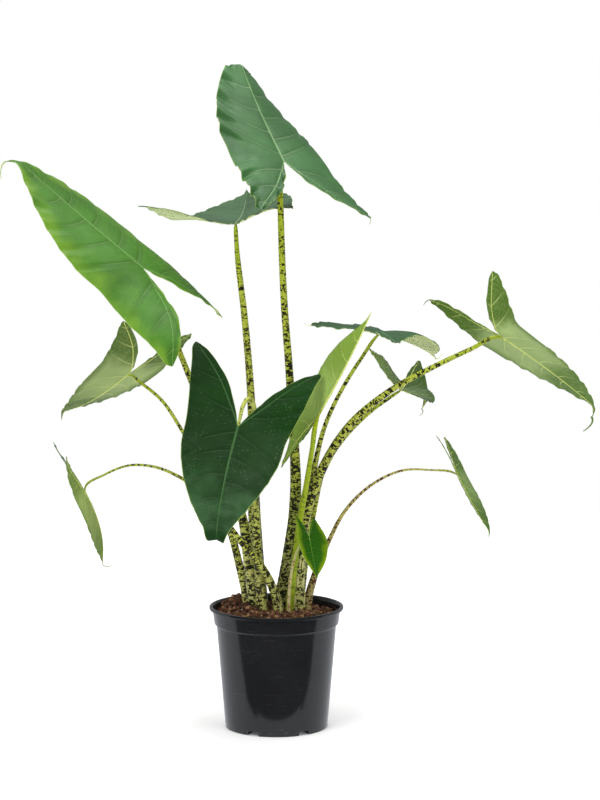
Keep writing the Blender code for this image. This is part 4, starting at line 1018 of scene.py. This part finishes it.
def pot():
    floor_edge = FOOT_R + 0.0006 - WALL
    inner = RIM_R - 0.0052
    corners = [
        (0.0, FLOOR_T, 0), (floor_edge, FLOOR_T, 0.0015), (BODY_TOP_R - WALL, POT_H - COLLAR_H - 0.0015, 0.0012),
        (COLLAR_BOT_R - WALL, POT_H - COLLAR_H + 0.0012, 0.0012), (COLLAR_TOP_R - WALL, POT_H - LIP_H - 0.0004, 0.0012),
        (inner + 0.0004, POT_H, 0.0014), (RIM_R, POT_H, 0.0017), (RIM_R, POT_H - LIP_H, 0.0007),
        (COLLAR_TOP_R + 0.0009, POT_H - LIP_H - 0.0003, 0.0006), (COLLAR_TOP_R, POT_H - LIP_H - 0.0020, 0.0010),
        (COLLAR_BOT_R, POT_H - COLLAR_H, 0.0006), (BODY_TOP_R, POT_H - COLLAR_H - 0.0025, 0.0010),
        (FOOT_R, 0.0, 0.0004), (0.0, 0.0, 0)]
    prof = filleted(corners)
    steps = 168
    th = np.arange(steps) / steps * 2 * pi
    body = prof[1:-1]
    V = np.array([[r * cos(t), r * sin(t), z] for r, z in body for t in th] + [[0, 0, prof[0][1]], [0, 0, prof[-1][1]]])
    m = len(body)
    i, j = np.meshgrid(np.arange(m - 1), np.arange(steps), indexing="ij")
    k = (j + 1) % steps
    F = np.stack([i * steps + j, (i + 1) * steps + j, (i + 1) * steps + k, i * steps + k], -1).reshape(-1, 4).tolist()
    F = [f[::-1] for f in F]
    for q in range(steps):
        F.append([m * steps, q, (q + 1) % steps])
        F.append([m * steps + 1, (m - 1) * steps + (q + 1) % steps, (m - 1) * steps + q])
    skin = pot_skin()
    ob = make("nursery_pot", V, F, [skin])
    import bmesh
    bm = bmesh.new()
    bm.from_mesh(ob.data)
    bmesh.ops.recalc_face_normals(bm, faces=bm.faces)
    bm.to_mesh(ob.data)
    bm.free()
    tools = []

    def box(angle, r0, r1, width, z0, z1):
        r = (r0 + r1) / 2
        bpy.ops.mesh.primitive_cube_add(size=1.0, location=(r * cos(angle), r * sin(angle), (z0 + z1) / 2),
                                        rotation=(0, 0, angle), scale=(r1 - r0, width, z1 - z0))
        tools.append(bpy.context.object)
        return bpy.context.object

    def apply(tool, how):
        mod = ob.modifiers.new("shape", "BOOLEAN")
        mod.operation, mod.solver, mod.object = how, "EXACT", tool

    angles = [CHANNEL_START + i * 2 * pi / CHANNELS for i in range(CHANNELS)]
    for a in angles:
        apply(box(a, CHANNEL_IN_R, FOOT_R - 0.0014, CHANNEL_W + 2 * WALL, 0.0004, CHANNEL_H + WALL), "UNION")
    for a in angles:
        apply(box(a, CHANNEL_IN_R + WALL, FOOT_R + 0.010, CHANNEL_W, -0.002, CHANNEL_H), "DIFFERENCE")
        bpy.ops.mesh.primitive_cylinder_add(vertices=32, radius=HOLE_R, depth=0.012,
                                            location=(HOLE_RING_R * cos(a), HOLE_RING_R * sin(a), CHANNEL_H + 0.001))
        tools.append(bpy.context.object)
        apply(bpy.context.object, "DIFFERENCE")
    bpy.context.view_layer.update()
    dg = bpy.context.evaluated_depsgraph_get()
    me = bpy.data.meshes.new_from_object(ob.evaluated_get(dg))
    ob.modifiers.clear()
    old = ob.data
    ob.data = me
    bpy.data.meshes.remove(old)
    for t in tools:
        mesh = t.data
        bpy.data.objects.remove(t, do_unlink=True)
        bpy.data.meshes.remove(mesh)
    me.materials.clear()
    me.materials.append(skin)
    me.shade_smooth()
    me.set_sharp_from_angle(angle=radians(38))
    return ob


def pot_skin():
    m = Look("pot_black_plastic", 0.2, Specular_IOR_Level=0.5)
    base = lin(26, 27, 29)
    col = m.mix(m.step(m.noise(14, 3), 0.3, 0.7), shade(base, 0.86), shade(base, 1.12))
    col = m.mix(m.math("MULTIPLY", m.step(m.noise(900, 2, 0.6), 0.5, 0.72), 0.35), col, shade(base, 1.9))
    # handling marks: faint scratches and dust low down
    scratch = m.noise(1.0, 3, 0.6, 1.2, vec=m.scaled(m.place, (46, 46, 700)))
    col = m.mix(m.math("MULTIPLY", m.step(scratch, 0.64, 0.74), 0.16), col, lin(112, 114, 118))
    z = m.node("SeparateXYZ")
    m.put(z.inputs[0], m.place)
    low = m.math("MULTIPLY", m.step(z.outputs[2], 0.016, 0.0), m.step(m.noise(120, 4, 0.65), 0.48, 0.70))
    col = m.mix(m.math("MULTIPLY", low, 0.14), col, lin(120, 112, 98))
    specks = m.math("MULTIPLY", m.step(m.cells(210), 0.10, 0.03), m.step(m.noise(30, 2), 0.5, 0.6))
    col = m.mix(m.math("MULTIPLY", specks, 0.35), col, lin(150, 152, 154))
    rough = m.step(m.noise(55, 4, 0.6), 0.3, 0.75, 0.12, 0.18)
    # inside the channels underneath it is dull, and painted shade darkens the recess
    round_ = m.node("VectorMath", operation="LENGTH")
    m.put(round_.inputs[0], m.scaled(m.place, (1, 1, 0)))
    painted_shade = m.math("MULTIPLY", m.step(round_.outputs["Value"], FOOT_R - 0.0016, FOOT_R - 0.0030), m.step(z.outputs[2], 0.012, 0.009))
    col = m.mix(m.math("MULTIPLY", painted_shade, 0.6), col, lin(8, 8, 9))
    rough = m.math("MAXIMUM", rough, m.math("MULTIPLY", painted_shade, 0.9))
    height = m.math("ADD", m.noise(700, 3, 0.6), m.math("MULTIPLY", m.step(scratch, 0.64, 0.74), -0.6))
    return m.finish(col, rough, m.bump(height, 0.00006, 0.35))


# ------------------------------------------------------------------- the pieces
for key in sorted(LEAVES):
    b = blade(key)
    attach(b, "root")
    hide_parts("blade_" + key)
    p = petiole(key)
    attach(p, "root")
    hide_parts("petiole_" + key)

bed = soil()
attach(bed, "root")
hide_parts("soil")

vessel = pot()
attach(vessel, "root")
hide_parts("pot")

m = Look("corm_skin", 0.8)
ring = m.noise(1.0, 3, 0.6, 0.6, vec=m.scaled(m.place, (60, 60, 420)))
m.finish(m.mix(m.step(ring, 0.4, 0.62), lin(98, 70, 48), lin(150, 116, 84)), m.step(m.noise(180, 3), 0.3, 0.7, 0.7, 0.92),
         m.bump(ring, 0.0008, 0.8))
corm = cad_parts["rhizome"]
corm.data.materials.clear()
corm.data.materials.append(m.mat)

# ------------------------------------------------------------------- floor, light, camera
f = Look("floor_white", 0.7, Emission_Color=(1, 1, 1, 1))
reach = f.node("VectorMath", operation="LENGTH")
f.put(reach.inputs[0], f.place)
f.put(f.bsdf.inputs["Emission Strength"], f.math("MULTIPLY", f.step(reach.outputs["Value"], 0.076, 0.086), f.step(reach.outputs["Value"], 0.10, 0.34, 0.24, 0.38)))
f.finish(f.mix(f.step(f.noise(3, 2), 0.3, 0.7), (0.86, 0.86, 0.86), (0.90, 0.90, 0.90)))
th = np.arange(96) / 96 * 2 * pi
floor = make("floor", [[2.2 * cos(t), 2.2 * sin(t), -0.0002] for t in th], [list(range(96))], [f.mat])
floor.visible_glossy = False

# the bright floor that only reflections see, up to the dark end of the room
g = bpy.data.materials.new("floor_glow")
g.use_nodes = True
g.node_tree.nodes.clear()
glow = g.node_tree.nodes.new("ShaderNodeEmission")
glow.inputs["Color"].default_value = (0.92, 0.95, 1, 1)
glow.inputs["Strength"].default_value = 0.84
gout = g.node_tree.nodes.new("ShaderNodeOutputMaterial")
g.node_tree.links.new(glow.outputs[0], gout.inputs[0])
patch = make("floor_patch", [[-3, -0.128, -0.0001], [3, -0.128, -0.0001], [3, 3, -0.0001], [-3, 3, -0.0001]], [[0, 1, 2, 3]], [g])
patch.visible_camera = patch.visible_diffuse = patch.visible_shadow = patch.visible_transmission = False


def area(name, place, aim, size, power, glossy=True):
    data = bpy.data.lights.new(name, "AREA")
    data.shape, data.size, data.size_y, data.energy = "RECTANGLE", size[0], size[1], power
    ob = bpy.data.objects.new(name, data)
    scene.collection.objects.link(ob)
    ob.location = place
    ob.rotation_euler = (Vector(aim) - Vector(place)).to_track_quat("-Z", "Y").to_euler()
    ob.visible_camera = False
    ob.visible_glossy = glossy
    return ob


area("key", (-1.7, -2.4, 2.3), (0, 0, 0.6), (1.6, 1.6), KEY, glossy=False)
area("fill", (1.9, -2.2, 1.7), (0, 0, 0.6), (1.5, 1.5), FILL, glossy=False)
area("top", (0.1, 0.3, 2.7), (0, 0, 0.4), (1.8, 1.8), TOP)

world = bpy.data.worlds.new("studio")
scene.world = world
world.use_nodes = True
wt = world.node_tree
wt.nodes.clear()


def wn(kind, **props):
    n = wt.nodes.new("ShaderNode" + kind)
    for k, v in props.items():
        setattr(n, k, v)
    return n


def wstep(x, lo, hi, a, b):
    n = wn("MapRange", interpolation_type="SMOOTHSTEP")
    wt.links.new(x, n.inputs["Value"])
    for k, v in (("From Min", lo), ("From Max", hi), ("To Min", a), ("To Max", b)):
        n.inputs[k].default_value = v
    return n.outputs[0]


co = wn("TexCoord")
sep = wn("SeparateXYZ")
wt.links.new(co.outputs["Generated"], sep.inputs[0])
front = wstep(sep.outputs[1], -0.10, -0.04, 1.0, 0.0)     # towards the open, unlit end of the room
low = wstep(sep.outputs[2], 0.45, 0.80, 1.0, 0.0)
both = wn("Math", operation="MULTIPLY")
wt.links.new(front, both.inputs[0])
wt.links.new(low, both.inputs[1])
gloss = wn("MapRange")
wt.links.new(both.outputs[0], gloss.inputs["Value"])
gloss.inputs["To Min"].default_value = 0.36
gloss.inputs["To Max"].default_value = 0.03
bg_soft, bg_gloss, bg_seen = wn("Background"), wn("Background"), wn("Background")
bg_soft.inputs["Strength"].default_value = AMBIENT
bg_soft.inputs["Color"].default_value = (1, 1, 1, 1)
bg_gloss.inputs["Color"].default_value = (0.94, 0.97, 1, 1)
wt.links.new(gloss.outputs[0], bg_gloss.inputs["Strength"])
bg_seen.inputs["Color"].default_value = (1, 1, 1, 1)
bg_seen.inputs["Strength"].default_value = 1.0
path = wn("LightPath")
mix1, mix2, wout = wn("MixShader"), wn("MixShader"), wn("OutputWorld")
wt.links.new(path.outputs["Is Glossy Ray"], mix1.inputs[0])
wt.links.new(bg_soft.outputs[0], mix1.inputs[1])
wt.links.new(bg_gloss.outputs[0], mix1.inputs[2])
wt.links.new(path.outputs["Is Camera Ray"], mix2.inputs[0])
wt.links.new(mix1.outputs[0], mix2.inputs[1])
wt.links.new(bg_seen.outputs[0], mix2.inputs[2])
wt.links.new(mix2.outputs[0], wout.inputs[0])

scene.view_settings.view_transform = "Standard"
scene.view_settings.look = "None"

cam = bpy.data.cameras.new("camera")
cam.lens, cam.sensor_width, cam.sensor_fit = 2596.2 / 800 * 36, 36.0, "AUTO"
cam.clip_end = 50
eye = bpy.data.objects.new("camera", cam)
scene.collection.objects.link(eye)
eye.location = (0.0369, -4.0, 0.9788)
eye.rotation_euler = (Vector((0.0369, 0.0, 0.5147)) - eye.location).to_track_quat("-Z", "Y").to_euler()
scene.camera = eye
